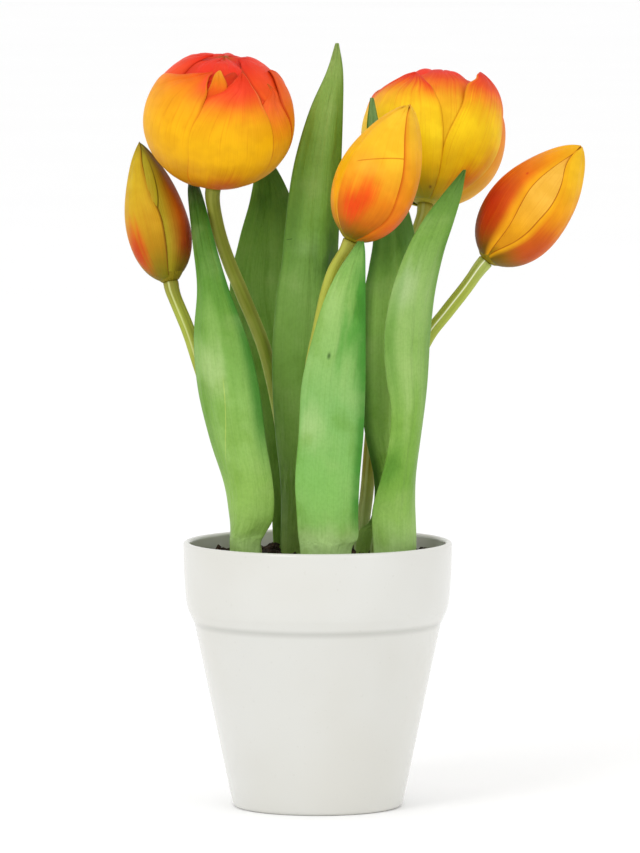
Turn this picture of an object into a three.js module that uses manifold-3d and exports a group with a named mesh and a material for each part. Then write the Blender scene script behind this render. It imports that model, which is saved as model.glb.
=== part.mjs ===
// A potted tulip: five flowering stems and six leaves grown from bulbs in a glazed ceramic pot.
//
// Millimetres. +Z is up, +X is to the right and -Y is the front of the plant. The origin is the
// middle of the pot's flat base. Every leaf is a thin blade between two margins, every flower is a
// head of overlapping petals laid on one profile of revolution, and every stem is a bent rod that
// stands on its bulb in the soil.

import * as THREE from 'three';
import { mergeVertices } from 'three/addons/utils/BufferGeometryUtils.js';
import Module from 'manifold-3d';

const wasm = await Module();
wasm.setup();

// ---------------------------------------------------------------- driving dimensions

const GAP = 0.3; // air left between two pieces that touch

const POT = {
  height: 104.5,
  lipRadius: 52.8, // outside, at the rim
  lipRound: 1.3,
  bandFoot: 73.5, // height at which the collar starts
  bodyTopRadius: 48.4,
  baseRadius: 33.6,
  cornerRound: 1.8,
  wall: 2.6,
  floor: 4,
  sides: 32,
};

const SOIL = {
  level: 98,
  bump: 0.8, // height of the coarse swell of its surface
  fineShare: 0.8, // height of the fine swell, as a share of the coarse one
  rings: 3,
  stemHole: 3.5,
  holeRise: 4, // how far a stem's hole is cut past the surface
  holeSides: 8,
};

const BULB = { radius: 12, height: 27, ring: 25, noseLevel: 88, noseRadius: 3.2, sides: 8 };

const STEM = { radius: 2.85, sides: 8, steps: 12, upright: 14, neck: 4 };

const LEAF = {
  thickness: 1.1,
  rows: 13,
  columns: 4,
  waveLag: 1.2, // how far one margin's ripple runs ahead of the other's, in radians
  slotRows: 3,
  slotShare: 0.14, // share of the leaf's stations that stand in the soil
  slotWiden: 1.05,
};

const PETAL = {
  thickness: 1.3,
  rows: 6,
  columns: 4,
  slimRows: 4, // for a bloom's inner petals, which are mostly hidden
  slimColumns: 3, // for the same ones, and a bud's petals
  innerFoot: 0.25, // a petal whose reach starts above this is an inner one
  tipShare: 0.05, // width left at the very tip
  endRound: { bloom: 0.17, bud: 0.068 }, // stretch of the profile over which a tip rounds off
  seatRise: 1.6, // how soon a margin leaves the foot for its own seat
};

// Rows of a leaf or petal crowd towards its tip by this power.
const ROW_CROWDING = 1.25;

// The closed heart of a flower, which its petals stand out of, over this stretch of the profile.
const CORE = {
  from: 0.04,
  to: 0.8,
  sides: 12,
  steps: 7,
  collarRadius: 3.4,
  footSink: 0.8, // how deep it lies under the profile, at its foot and farther up
  bloomSink: 6,
  budSink: 3.2,
};

const COLOUR = {
  glaze: 0xe9e7e1,
  soil: 0x2c231c,
  bulb: 0x8c5a32,
  stem: 0xa3b04a,
  leaf: 0x6fae54,
  darkLeaf: 0x4f8a3c,
  bloom: 0xf6b21e,
  bud: 0xf0962a,
};

// Five plants stand on a ring: the bearing of each bulb in degrees, seen from above, from +X.
const BULB_BEARING = { a: 115, b: 47, c: 188, d: 262, e: 338 };

// Each stem's way up from its bulb, as [x, y, z] points; the flower's base is the last point.
const STEM_WAY = {
  a: [[-12.5, 22.5, 135], [-20.5, 18.5, 177], [-29.4, 16, 200], [-35.1, 12.5, 214], [-39.2, 9.5, 227],
      [-40.9, 5, 243.5]],
  b: [[19.4, 17.8, 122], [23, 15, 160], [31.4, 13.5, 195], [37.2, 13.8, 214], [39.7, 14.8, 226],
      [42.3, 18, 236]],
  c: [[-29, -3, 115], [-38, -1.5, 148], [-45.9, -1, 172.7], [-50.6, 1, 187],
      [-57.7, 6, 206]],
  d: [[-3.4, -25, 135], [-2.6, -25.5, 172], [0.6, -26, 189.4], [3.7, -26.4, 204], [6.6, -26.7, 212.8],
      [9.1, -26.9, 217.2], [12.8, -27, 224.2]],
  e: [[28, -9.5, 122], [32.5, -9.5, 150], [37.2, -9.3, 172], [43.2, -9, 185.8], [50.5, -9, 195.4],
      [58, -9, 205], [65.7, -9, 215.3]],
};

// The direction in which each flower's axis leaves its stem.
const FLOWER_AXIS = {
  a: [0.09, -0.2, 0.975],
  b: [0.125, 0.3, 0.95],
  c: [-0.214, 0.22, 0.952],
  d: [0.393, -0.03, 0.919],
  e: [0.638, 0, 0.77],
};

// The profile of revolution that each flower's petals lie on. A bloom is a globe whose upper half
// closes in by a share of the full curve. A bud is a long egg; lowness sets its widest place and
// fullness its flanks.
const FLOWER_FORM = {
  a: { kind: 'bloom', radius: 29.5, below: 25.5, above: 28.8, closing: 0.93 },
  b: { kind: 'bloom', radius: 28.1, below: 27.1, above: 27.6, closing: 0.85 },
  c: { kind: 'bud', radius: 12.5, length: 57.6, lowness: 0.689, fullness: 0.777 },
  d: { kind: 'bud', radius: 16.2, length: 58, lowness: 0.756, fullness: 0.68 },
  e: { kind: 'bud', radius: 16.4, length: 58.7, lowness: 0.755, fullness: 0.66 },
};

// Petals of each flower. reach is the stretch of the profile that the petal covers, from 0 at the
// base to 1 at the top. edges are the bearings of its left and right edge in degrees, at equal
// steps from base to tip, where 0 is the front of the flower. layer is how far its outer face lies
// out of the profile, and seat is the same for the thin left and right margin, which lie on or
// under their neighbours. closing is how far its own upper half closes in, where that differs from
// the flower's. A bloom's inner petals are only as long as what shows of them and a little more.
const PETALS = {
  a: [
    {
      reach: [0.07, 0.81], layer: 0.25, seat: [-0.9, -0.15],
      edges: [[-100, -40], [-128, -29], [-132, -19.5], [-130, -18.5], [-118, -12.5], [-22, -8]],
    },
    {
      reach: [0.07, 0.83], layer: 0.1, seat: [-0.9, -0.1],
      edges: [[-50, 44], [-46, 52], [-40, 51], [-38, 47.5], [-16, 40], [22, 34]],
    },
    {
      reach: [0.07, 0.76], layer: -0.1, seat: [-1.2, -1.2],
      edges: [[34, 105], [38, 112], [38, 112], [36, 104], [36, 82], [57, 62]],
    },
    {
      reach: [0.07, 0.82], layer: 0.3, seat: [-0.2, -0.9], closing: 0.84,
      edges: [[80, 140], [88, 156], [84, 160], [75, 156], [63, 140], [66, 100]],
    },
    {
      reach: [0.07, 0.8], layer: -0.8, seat: [-1.5, -1.5],
      edges: [[130, 232], [126, 250], [128, 252], [130, 250], [138, 238], [158, 216]],
    },
    {
      reach: [0.46, 0.965], layer: -0.4, seat: [-1.2, -1.4],
      edges: [[-168, -55], [-165, -55], [-150, -56], [-75, -56]],
    },
    {
      reach: [0.45, 0.95], layer: -1.7, seat: [-2.2, -2.2],
      edges: [[-100, 10], [-100, 12], [-96, 14], [-40, 24]],
    },
    {
      reach: [0.46, 0.97], layer: -0.7, seat: [-1.9, -1.2], closing: 0.88,
      edges: [[52, 165], [48, 165], [30, 160], [30, 120]],
    },
    {
      reach: [0.43, 0.9], layer: -1.5, seat: [-2.2, -2.2],
      edges: [[18, 104], [20, 98], [22, 90], [40, 64]],
    },
    {
      reach: [0.43, 0.885], layer: -1.2, seat: [-2.1, -1.9],
      edges: [[-50, 42], [-48, 44], [-40, 48], [22, 50]],
    },
    {
      reach: [0.47, 0.985], layer: -1.8, seat: [-2.4, -2.4],
      edges: [[124, 242], [120, 244], [110, 240], [120, 230]],
    },
    {
      reach: [0.42, 0.85], layer: -0.55, seat: [-1.3, -1.3],
      edges: [[-18, -6], [-17, -2], [-16, 6], [-15, 7]],
    },
  ],
  b: [
    {
      reach: [0.07, 0.785], layer: 0.3, seat: [0.4, -0.75], closing: 0.92,
      edges: [[-60, 14], [-90, 12.6], [-96, 9.4], [-94, 5.2], [-84, -2.5], [-46, -20]],
    },
    {
      reach: [0.07, 0.905], layer: 0.5, seat: [-0.5, -0.25], closing: 0.5,
      edges: [[12, 55], [10.5, 61], [8.5, 68], [17.5, 72], [29, 84], [43, 66]],
    },
    {
      reach: [0.07, 0.74], layer: 0.5, seat: [-0.8, -0.8], closing: 0.76,
      edges: [[40, 140], [44, 168], [50, 178], [54, 178], [66, 168], [96, 140]],
    },
    {
      reach: [0.07, 0.77], layer: 0.6, seat: [-0.9, -0.9], closing: 0.56,
      edges: [[150, 276], [148, 288], [146, 290], [148, 290], [158, 288], [200, 276]],
    },
    {
      reach: [0.3, 0.97], layer: -0.8, seat: [-1.6, -1.6], closing: 0.92,
      edges: [[-34, 50], [-36, 52], [-36, 50], [-34, 46], [-24, 26]],
    },
    {
      reach: [0.44, 0.92], layer: -2.6, seat: [-3, -3], closing: 0.92,
      edges: [[-136, -30], [-134, -28], [-124, -28], [-80, -44]],
    },
    {
      reach: [0.45, 0.94], layer: -1.9, seat: [-2.5, -2.5], closing: 0.9,
      edges: [[32, 126], [32, 124], [36, 116], [56, 96]],
    },
    {
      reach: [0.46, 0.96], layer: -2.4, seat: [-3, -3], closing: 0.92,
      edges: [[110, 238], [112, 236], [118, 228], [140, 206]],
    },
  ],
  c: [
    {
      reach: [0.015, 0.995], layer: 0.4, seat: [-0.5, -0.15],
      edges: [[-100, 0], [-110, 8], [-114, 11], [-114, 11], [-112, 4], [-108, -1.5], [-100, -6],
              [-60, 2]],
    },
    {
      reach: [0.015, 0.98], layer: -0.2, seat: [-1, -0.5],
      edges: [[-14, 130], [-6, 142], [-4, 146], [-2, 144], [4, 136], [-4, 100]],
    },
    {
      reach: [0.015, 0.97], layer: -0.4, seat: [-1.2, -1.2],
      edges: [[120, 256], [122, 262], [122, 262], [122, 260], [118, 256], [112, 264]],
    },
    {
      reach: [0.03, 0.955], layer: 0.1, seat: [-0.7, -0.3],
      edges: [[-50, -12], [-50, -8], [-50, -4], [-50, 4], [-46, 15], [-40, 20], [-36, 22], [-24, 22]],
    },
  ],
  d: [
    {
      reach: [0.015, 0.99], layer: 0.1, seat: [-0.2, -0.9],
      edges: [[-45, 28], [-54, 50], [-56, 49], [-58, 44], [-60, 30], [-34, 12]],
    },
    {
      reach: [0.015, 0.995], layer: 0.3, seat: [-0.1, -0.4],
      edges: [[20, 120], [38, 148], [35, 152], [30, 148], [16, 136], [2, 110]],
    },
    {
      reach: [0.015, 0.985], layer: -0.2, seat: [-1.1, -1.1],
      edges: [[130, 306], [134, 312], [132, 314], [134, 314], [124, 310], [106, 322]],
    },
  ],
  e: [
    {
      reach: [0.015, 0.995], layer: 0, seat: [-0.5, -0.6],
      edges: [[-120, -10], [-132, -8], [-136, -8.5], [-136, -15], [-134, -21], [-130, -21], [-120, -15],
              [-80, 0]],
    },
    {
      reach: [0.015, 0.99], layer: 0, seat: [-0.55, -0.4],
      edges: [[-12, 120], [6, 130], [15, 136], [17, 136], [19, 134], [13, 130], [-6, 120], [-14, 100]],
    },
    {
      reach: [0.015, 0.98], layer: -0.2, seat: [-1.2, -1.2],
      edges: [[112, 248], [112, 252], [110, 252], [110, 250], [106, 248], [98, 262]],
    },
    {
      reach: [0.03, 0.94], layer: -0.5, seat: [-1.2, -1.2],
      edges: [[-22, 24], [-26, 32], [-34, 34], [-40, 38], [-40, 34], [-28, 18]],
    },
  ],
};

// Leaves, as stations from the foot to the tip: height, then x and y of the left margin, x and y
// of the right margin, and how far the middle of the blade bows out of the line between them.
// wave is the height of the ripple along the margins and the number of its crests.
const LEAVES = {
  leaf_front_left: {
    wave: [0.8, 2.6],
    stations: [
      [88, -33, -8, -22, -17, 5], [104, -34.1, -8, -22.2, -18, 5.4], [109, -34, -8, -20.8, -19, 5.8],
      [116, -34.4, -8, -17.4, -20.5, 6.4], [128, -36.2, -8, -17, -21, 6.4],
      [146, -42.3, -8.5, -19.8, -21, 6], [165, -47.1, -9.5, -22.6, -20.5, 5.4],
      [185, -48.4, -10, -27.4, -18, 4.6], [205, -46.9, -8, -34.5, -13, 3.4],
      [224, -49.2, 0, -40.4, -3.6, 2.2], [240, -51, 11, -45.4, 10.5, 1],
      [247.5, -50.4, 20, -48.8, 20, 0],
    ],
  },
  leaf_centre_tall: {
    wave: [0.7, 3.2],
    stations: [
      [88, -14.4, 9, 4, 9, 5], [104, -14.6, 9, 5, 9, 5.4], [125, -14.6, 8, 7, 9, 5.6],
      [150, -17.1, 7, 8.2, 9, 5.4], [175, -18, 6, 8.6, 9.5, 5.2], [200, -16.2, 6, 8.5, 10.5, 5],
      [213, -14.3, 7.5, 8, 11.5, 5.6], [225, -13.3, 8.5, 8.3, 12, 4.4],
      [250, -9.8, 11.5, 9.3, 14.5, 3.6], [272, -3.6, 15, 10, 17, 2.4], [288, 3.4, 18, 9.9, 18.8, 1.2],
      [299.3, 7, 20, 8.2, 20.2, 0],
    ],
  },
  leaf_back_left: {
    wave: [0.7, 2.4],
    stations: [
      [88, -17, 31, -4, 32, -5], [104, -17.8, 31, -4, 32, -5.4], [125, -19, 32, -3, 32.5, -5.6],
      [150, -23, 33.5, -2, 33.5, -5.6], [175, -30.2, 35, -3, 34, -5.6],
      [200, -35, 36.5, -4.6, 35.5, -5], [220, -31.4, 38, -7, 37, -4], [235, -27.2, 40, -9.9, 39, -2.8],
      [247, -24.9, 42.5, -15.2, 41.6, -1.4], [256, -23, 45, -21.8, 45, 0],
    ],
  },
  leaf_front_centre: {
    wave: [0.8, 2.8],
    stations: [
      [88, -6, -30.5, 12, -30.5, 5], [104, -6.9, -31, 13.2, -31, 5.6], [109, -7.6, -31, 15.8, -31, 6],
      [118, -8.2, -31.4, 15.8, -31.4, 6.2], [132, -8.8, -32, 16.4, -32, 6.2],
      [150, -7.4, -32.6, 17.9, -32.6, 5.8], [170, -6.1, -33.6, 18.6, -33.6, 5.2],
      [190, -1.2, -34.8, 18.6, -34.8, 4], [203, 3, -36, 18.6, -36.4, 2.8],
      [213.4, 8.1, -37, 18.5, -37.6, 1.8], [220.5, 12.8, -38, 18.3, -38.4, 1],
      [224.6, 15.6, -38.4, 17.9, -38.6, 0],
    ],
  },
  leaf_back_right: {
    wave: [0.6, 2.6],
    stations: [
      [88, 15.4, 9.5, 33, 8, 5], [106, 15.6, 9.5, 34, 9, 5.4], [113, 21, 4, 34.4, 9.5, 5],
      [128, 22.2, 2, 35, 9.5, 4.8], [150, 17.9, 1, 36.4, 9, 4.8], [175, 17.3, 0, 37.9, 7.5, 4.6],
      [200, 18.2, -1, 39.3, 5, 4], [212, 20.1, -1.4, 39.2, 3.6, 3.6], [226, 21.7, -2, 37.8, 1.5, 3.2],
      [245, 20.2, -2, 32.2, 0, 2.2], [265, 19.2, -1, 25, 0, 1.1], [278.6, 20.6, 1, 21.8, 1, 0],
    ],
  },
  leaf_front_right: {
    wave: [0.8, 2.4],
    stations: [
      [88, 22, -26, 37.4, -16.5, 5], [104, 21.8, -27, 38.2, -17, 5.2], [115, 21.4, -27, 38.2, -17, 5.4],
      [122, 22.2, -27, 38.2, -17, 5.2], [133, 25, -26.5, 38.4, -17.5, 4.8],
      [147, 27.4, -26.5, 39.8, -18, 4.6], [160, 28.3, -27, 41.4, -18, 4.6],
      [172, 26.8, -28, 42.8, -19, 4.6], [188, 26.2, -29.6, 44.2, -20.5, 4.2],
      [205, 28.8, -31.5, 46, -23.5, 3.4], [220, 33.8, -33, 48.9, -29, 2.6],
      [232, 40.2, -35.6, 52.6, -33.5, 1.6], [243, 48.4, -38.8, 55.7, -37.6, 0.7],
      [252.5, 56.3, -41, 57.2, -41, 0],
    ],
  },
};

const DARK_LEAVES = ['leaf_back_left', 'leaf_back_right'];

// ---------------------------------------------------------------- solids and joins

const vec = (x, y, z) => new THREE.Vector3(x, y, z);

function toSolid(geometry) {
  const bare = geometry.clone();
  bare.deleteAttribute('normal');
  bare.deleteAttribute('uv');
  const merged = mergeVertices(bare, 1e-4);
  const vertProperties = new Float32Array(merged.attributes.position.array);
  const triVerts = new Uint32Array(merged.index.array);
  return new wasm.Manifold(new wasm.Mesh({ numProp: 3, vertProperties, triVerts }));
}

function toGeometry(solid) {
  const { vertProperties, triVerts } = solid.getMesh();
  const geometry = new THREE.BufferGeometry();
  geometry.setAttribute('position', new THREE.BufferAttribute(new Float32Array(vertProperties), 3));
  geometry.setIndex(new THREE.BufferAttribute(new Uint32Array(triVerts), 1));
  return geometry;
}

// The largest closed body of a solid, without loose scraps and sealed hollows.
function largestBody(solid) {
  return toGeometry(solid.decompose().reduce((best, body) => (body.volume() > best.volume() ? body : best)));
}

function fuse(geometries) {
  return largestBody(geometries.map(toSolid).reduce((sum, solid) => sum.add(solid)));
}

// A smooth value between equally spaced ones, for a list of numbers or of number lists.
function smoothAt(values, share) {
  const last = values.length - 1;
  const place = Math.min(Math.max(share, 0), 1) * last;
  const i = Math.min(Math.floor(place), last - 1);
  const f = place - i;
  const blend = (k) => {
    const b = values[i][k];
    const c = values[i + 1][k];
    const a = i > 0 ? values[i - 1][k] : 2 * b - c;
    const d = i + 2 <= last ? values[i + 2][k] : 2 * c - b;
    const slopeIn = (c - a) / 2;
    const slopeOut = (d - b) / 2;
    const rise = c - b;
    return b + f * (slopeIn + f * (3 * rise - 2 * slopeIn - slopeOut + f * (slopeIn + slopeOut - 2 * rise)));
  };
  return values[i].map((unused, k) => blend(k));
}

// A closed blade of even thickness on a surface of points(u, v), with u from 0 at the foot to 1 at
// the tip and v from -1 at the left edge to 1 at the right edge. Both faces share their triangles.
function blade(points, rows, columns, thickness) {
  const step = 1e-3;
  const position = [];
  const index = [];
  for (const side of [0.5, -0.5]) {
    for (let i = 0; i <= rows; i += 1) {
      for (let j = 0; j <= columns; j += 1) {
        const u = 1 - (1 - i / rows) ** ROW_CROWDING;
        const v = (2 * j) / columns - 1;
        const along = points(Math.min(u + step, 1), v).sub(points(Math.max(u - step, 0), v));
        const across = points(u, v + step).sub(points(u, v - step));
        const out = across.cross(along).normalize();
        position.push(...points(u, v).addScaledVector(out, side * thickness).toArray());
      }
    }
  }
  const wide = columns + 1;
  const back = (rows + 1) * wide;
  const quad = (a, b, c, d) => index.push(a, b, c, a, c, d);
  for (let i = 0; i < rows; i += 1) {
    for (let j = 0; j < columns; j += 1) {
      const a = i * wide + j;
      const [b, c, d] = [a + 1, a + wide + 1, a + wide];
      quad(a, b, c, d);
      index.push(back + a, back + c, back + b, back + a, back + d, back + c);
    }
    const left = i * wide;
    const right = left + columns;
    quad(left + wide, back + left + wide, back + left, left);
    quad(right, back + right, back + right + wide, right + wide);
  }
  const tip = rows * wide;
  for (let j = 0; j < columns; j += 1) {
    quad(j, back + j, back + j + 1, j + 1);
    quad(tip + j + 1, back + tip + j + 1, back + tip + j, tip + j);
  }
  const geometry = new THREE.BufferGeometry();
  geometry.setAttribute('position', new THREE.Float32BufferAttribute(position, 3));
  geometry.setIndex(index);
  return geometry;
}

function lathe(profile, sides) {
  const turned = new THREE.LatheGeometry(profile.map(([r, z]) => new THREE.Vector2(r, z)), sides);
  turned.rotateX(Math.PI / 2);
  return turned;
}

// ---------------------------------------------------------------- pot, soil and bulbs

function arc(centreR, centreZ, radius, fromDegrees, toDegrees, steps) {
  return Array.from({ length: steps + 1 }, (unused, i) => {
    const angle = THREE.MathUtils.degToRad(fromDegrees + ((toDegrees - fromDegrees) * i) / steps);
    return [centreR + radius * Math.cos(angle), centreZ + radius * Math.sin(angle)];
  });
}

const potInside = [
  [POT.baseRadius - POT.wall - 2, POT.floor],
  [POT.baseRadius - POT.wall + 0.8, POT.floor + 2.6],
  [POT.bodyTopRadius - POT.wall, POT.bandFoot - 3],
  [POT.lipRadius - POT.wall - 1.2, POT.bandFoot + 5],
  [POT.lipRadius - POT.wall, POT.height - 12],
];

function potGeometry() {
  const { height, lipRadius, lipRound, bandFoot, bodyTopRadius, baseRadius, cornerRound } = POT;
  const lipMiddle = lipRadius - lipRound;
  const profile = [
    [0, 0],
    ...arc(baseRadius - cornerRound, cornerRound, cornerRound, -90, -10, 3),
    [bodyTopRadius, bandFoot - 1],
    [bodyTopRadius + 0.6, bandFoot],
    [bodyTopRadius + 1.7, bandFoot + 2.4],
    [bodyTopRadius + 2.7, bandFoot + 5],
    [bodyTopRadius + 3.5, bandFoot + 10],
    [lipRadius - 0.2, bandFoot + 20],
    ...arc(lipMiddle, height - lipRound, lipRound, 0, 180, 5),
    ...potInside.toReversed(),
    [0, POT.floor],
  ];
  return lathe(profile, POT.sides);
}

function soilHeight(x, y) {
  const coarse = Math.sin(0.31 * x + 0.7) * Math.cos(0.27 * y - 0.4);
  const fine = Math.sin(0.83 * x - 0.5 * y) * Math.cos(0.61 * y + 0.35 * x);
  return SOIL.level + SOIL.bump * (coarse + SOIL.fineShare * fine);
}

function soilBlock() {
  const top = POT.lipRadius - POT.wall - GAP - 0.1;
  const side = potInside.slice(0, 4).map(([r, z]) => [r - GAP, z]);
  side[0][1] += GAP;
  const ringRadii = Array.from({ length: SOIL.rings }, (unused, i) => (top * (SOIL.rings - i)) / SOIL.rings);
  const rings = ringRadii.map((r) => [r, SOIL.level]);
  const block = lathe([[0, side[0][1]], ...side, ...rings, [0, SOIL.level]], POT.sides);
  const place = block.attributes.position;
  for (let i = 0; i < place.count; i += 1) {
    if (place.getZ(i) > SOIL.level - 1) {
      place.setZ(i, soilHeight(place.getX(i), place.getY(i)));
    }
  }
  return block;
}

function bulbSpot(key) {
  const bearing = THREE.MathUtils.degToRad(BULB_BEARING[key]);
  return vec(BULB.ring * Math.cos(bearing), BULB.ring * Math.sin(bearing), BULB.noseLevel);
}

// A bulb as wide as radius, with a flat nose for its stem. grown makes it larger all round.
function bulbGeometry(key, grown = 0) {
  const { radius, height, noseRadius } = BULB;
  const shares = [[0.32, 0], [0.78, 0.12], [1, 0.36], [0.86, 0.6], [0.52, 0.82]];
  const flank = shares.map(([r, z]) => [r * radius + grown, (z - 1) * height - (z < 0.2 ? grown : 0)]);
  const nose = [noseRadius + grown, grown];
  const profile = [[0, -height - grown], ...flank, nose, [0, grown]];
  return lathe(profile, BULB.sides).translate(...bulbSpot(key).toArray());
}

// ---------------------------------------------------------------- stems

function stemGeometry(key) {
  const axis = vec(...FLOWER_AXIS[key]).normalize();
  const way = STEM_WAY[key].map((point) => vec(...point));
  const foot = bulbSpot(key).add(vec(0, 0, GAP));
  const end = way.at(-1).addScaledVector(axis, -GAP);
  const middle = way.slice(0, -1);
  const upright = [0, STEM.upright / 2, STEM.upright].map((rise) => foot.clone().add(vec(0, 0, rise)));
  const neck = end.clone().addScaledVector(axis, -STEM.neck);
  const path = new THREE.CatmullRomCurve3([...upright, ...middle, neck, end], false, 'centripetal');
  const section = new THREE.Shape();
  for (let i = 0; i < STEM.sides; i += 1) {
    const angle = (2 * Math.PI * (i + 0.5)) / STEM.sides;
    const [x, y] = [STEM.radius * Math.cos(angle), STEM.radius * Math.sin(angle)];
    if (i === 0) {
      section.moveTo(x, y);
    } else {
      section.lineTo(x, y);
    }
  }
  section.closePath();
  return new THREE.ExtrudeGeometry(section, { steps: STEM.steps, bevelEnabled: false, extrudePath: path });
}

// ---------------------------------------------------------------- leaves

function leafPoint(leaf, u, v) {
  const [z, leftX, leftY, rightX, rightY, bow] = smoothAt(leaf.stations, u);
  const half = vec((rightX - leftX) / 2, (rightY - leftY) / 2, 0);
  const out = vec(half.y, -half.x, 0).normalize();
  const [rippleHeight, crests] = leaf.wave;
  const quiet = Math.sin(Math.PI * u) ** 0.5;
  const swing = Math.sin(2 * Math.PI * crests * u + LEAF.waveLag * v);
  const ripple = rippleHeight * quiet * v * Math.abs(v) * swing;
  const middle = vec((leftX + rightX) / 2, (leftY + rightY) / 2, z);
  return middle.addScaledVector(half, v).addScaledVector(out, bow * (1 - v * v) + ripple);
}

function leafGeometry(leaf) {
  return blade((u, v) => leafPoint(leaf, u, v), LEAF.rows, LEAF.columns, LEAF.thickness);
}

// The hole that a leaf's foot stands in: the foot's own blade, a gap larger all round.
function leafSlot(leaf) {
  const surface = (u, v) => {
    const point = leafPoint(leaf, u * LEAF.slotShare, v * LEAF.slotWiden);
    return u <= 0 ? point.setZ(point.z - GAP) : point;
  };
  return blade(surface, LEAF.slotRows, LEAF.columns, LEAF.thickness + 2.4 * GAP);
}

// ---------------------------------------------------------------- flowers

// Radius and height of a flower's profile at a share of its way from base to top.
function profileAt(form, share, closing = form.closing) {
  if (form.kind === 'bud') {
    return [form.radius * Math.sin(Math.PI * share ** form.lowness) ** form.fullness, form.length * share];
  }
  const angle = Math.PI * share;
  const [sine, cosine] = [Math.sin(angle), Math.cos(angle)];
  if (cosine > 0) {
    return [form.radius * sine, form.below * (1 - cosine)];
  }
  return [form.radius * (1 - closing * (1 - sine)), form.below - form.above * cosine];
}

// The same profile, set out of itself by a distance.
function profileBeside(form, share, distance, closing = form.closing) {
  const step = 2e-3;
  const [r, z] = profileAt(form, share, closing);
  const [lowR, lowZ] = profileAt(form, Math.max(share - step, 1e-4), closing);
  const [highR, highZ] = profileAt(form, Math.min(share + step, 1 - 1e-4), closing);
  const length = Math.hypot(highR - lowR, highZ - lowZ);
  return [r + (distance * (highZ - lowZ)) / length, z - (distance * (highR - lowR)) / length];
}

function petalPoint(form, petal, u, v) {
  const share = petal.reach[0] + (petal.reach[1] - petal.reach[0]) * u;
  const [left, right] = smoothAt(petal.edges, u);
  const endRound = PETAL.endRound[form.kind];
  const ending = Math.max((share - petal.reach[1] + endRound) / endRound, 0);
  const rounding = Math.max(Math.sqrt(Math.max(1 - ending * ending, 0)), PETAL.tipShare);
  const bearing = THREE.MathUtils.degToRad((left + right) / 2 + ((right - left) / 2) * rounding * v);
  const middle = petal.layer - PETAL.thickness / 2;
  const seat = petal.seat[v < 0 ? 0 : 1];
  const settled = v ** 4 * Math.sin(Math.PI * Math.min(u * PETAL.seatRise, 0.5));
  const out = middle + (seat - middle) * settled;
  const [r, z] = profileBeside(form, share, out, petal.closing ?? form.closing);
  return vec(r * Math.sin(bearing), -r * Math.cos(bearing), z);
}

function coreGeometry(form) {
  const fullSink = form.kind === 'bud' ? CORE.budSink : CORE.bloomSink;
  const profile = [];
  for (let i = 1; i <= CORE.steps; i += 1) {
    const share = THREE.MathUtils.lerp(CORE.from, CORE.to, i / CORE.steps);
    const sink = THREE.MathUtils.lerp(CORE.footSink, fullSink, THREE.MathUtils.smoothstep(share, 0.1, 0.35));
    profile.push(profileBeside(form, share, -sink));
  }
  return lathe([[0, 0], [CORE.collarRadius, 0], ...profile, [0, profile.at(-1)[1] + 1]], CORE.sides);
}

// Turns a flower from its own frame, base at the origin and axis on +Z, to its place on its stem.
function flowerPlace(key) {
  const up = vec(...FLOWER_AXIS[key]).normalize();
  const right = vec(0, 1, 0).cross(up).normalize();
  const away = up.clone().cross(right);
  return new THREE.Matrix4().makeBasis(right, away, up).setPosition(...STEM_WAY[key].at(-1));
}

function flowerGeometry(key) {
  const form = FLOWER_FORM[key];
  const petals = PETALS[key].map((petal) => {
    const isBud = form.kind === 'bud';
    const isInner = petal.reach[0] > PETAL.innerFoot;
    const rows = isInner ? PETAL.slimRows : PETAL.rows;
    const columns = isBud || isInner ? PETAL.slimColumns : PETAL.columns;
    return blade((u, v) => petalPoint(form, petal, u, v), rows, columns, PETAL.thickness);
  });
  return fuse([coreGeometry(form), ...petals]).applyMatrix4(flowerPlace(key));
}

// ---------------------------------------------------------------- the plant in its pot

function piece(name, geometry, color, roughness = 0.6) {
  const mesh = new THREE.Mesh(geometry, new THREE.MeshStandardMaterial({ color, roughness, metalness: 0 }));
  mesh.name = name;
  return mesh;
}

// A plain round hole in the soil, from a bulb's nose up, for its stem.
function stemHole(key) {
  const overlap = 2; // the hole starts this far inside the bulb's own
  const length = SOIL.level + SOIL.holeRise - BULB.noseLevel + overlap;
  const middle = bulbSpot(key).add(vec(0, 0, length / 2 - overlap));
  const hole = new THREE.CylinderGeometry(SOIL.stemHole, SOIL.stemHole, length, SOIL.holeSides);
  return hole.rotateX(Math.PI / 2).translate(...middle.toArray());
}

// The soil has a plain hole round each bulb, stem and leaf foot.
function soilGeometry() {
  const holes = Object.keys(BULB_BEARING).flatMap((key) => [bulbGeometry(key, GAP), stemHole(key)]);
  const slots = Object.values(LEAVES).map(leafSlot);
  const cut = [...holes, ...slots].reduce((solid, hole) => solid.subtract(toSolid(hole)), toSolid(soilBlock()));
  return largestBody(cut);
}

const group = new THREE.Group();
group.add(piece('pot', potGeometry(), COLOUR.glaze, 0.15));
group.add(piece('soil', soilGeometry(), COLOUR.soil, 0.95));
for (const key of Object.keys(BULB_BEARING)) {
  const isBud = FLOWER_FORM[key].kind === 'bud';
  group.add(piece(`bulb_${key}`, bulbGeometry(key), COLOUR.bulb));
  group.add(piece(`stem_${key}`, stemGeometry(key), COLOUR.stem));
  group.add(piece(`${isBud ? 'bud' : 'bloom'}_${key}`, flowerGeometry(key), isBud ? COLOUR.bud : COLOUR.bloom));
}
for (const [name, leaf] of Object.entries(LEAVES)) {
  group.add(piece(name, leafGeometry(leaf), DARK_LEAVES.includes(name) ? COLOUR.darkLeaf : COLOUR.leaf));
}

export default group;
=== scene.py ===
import math
import random

import bmesh
import bpy
from mathutils import Matrix, Vector, noise


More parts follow.
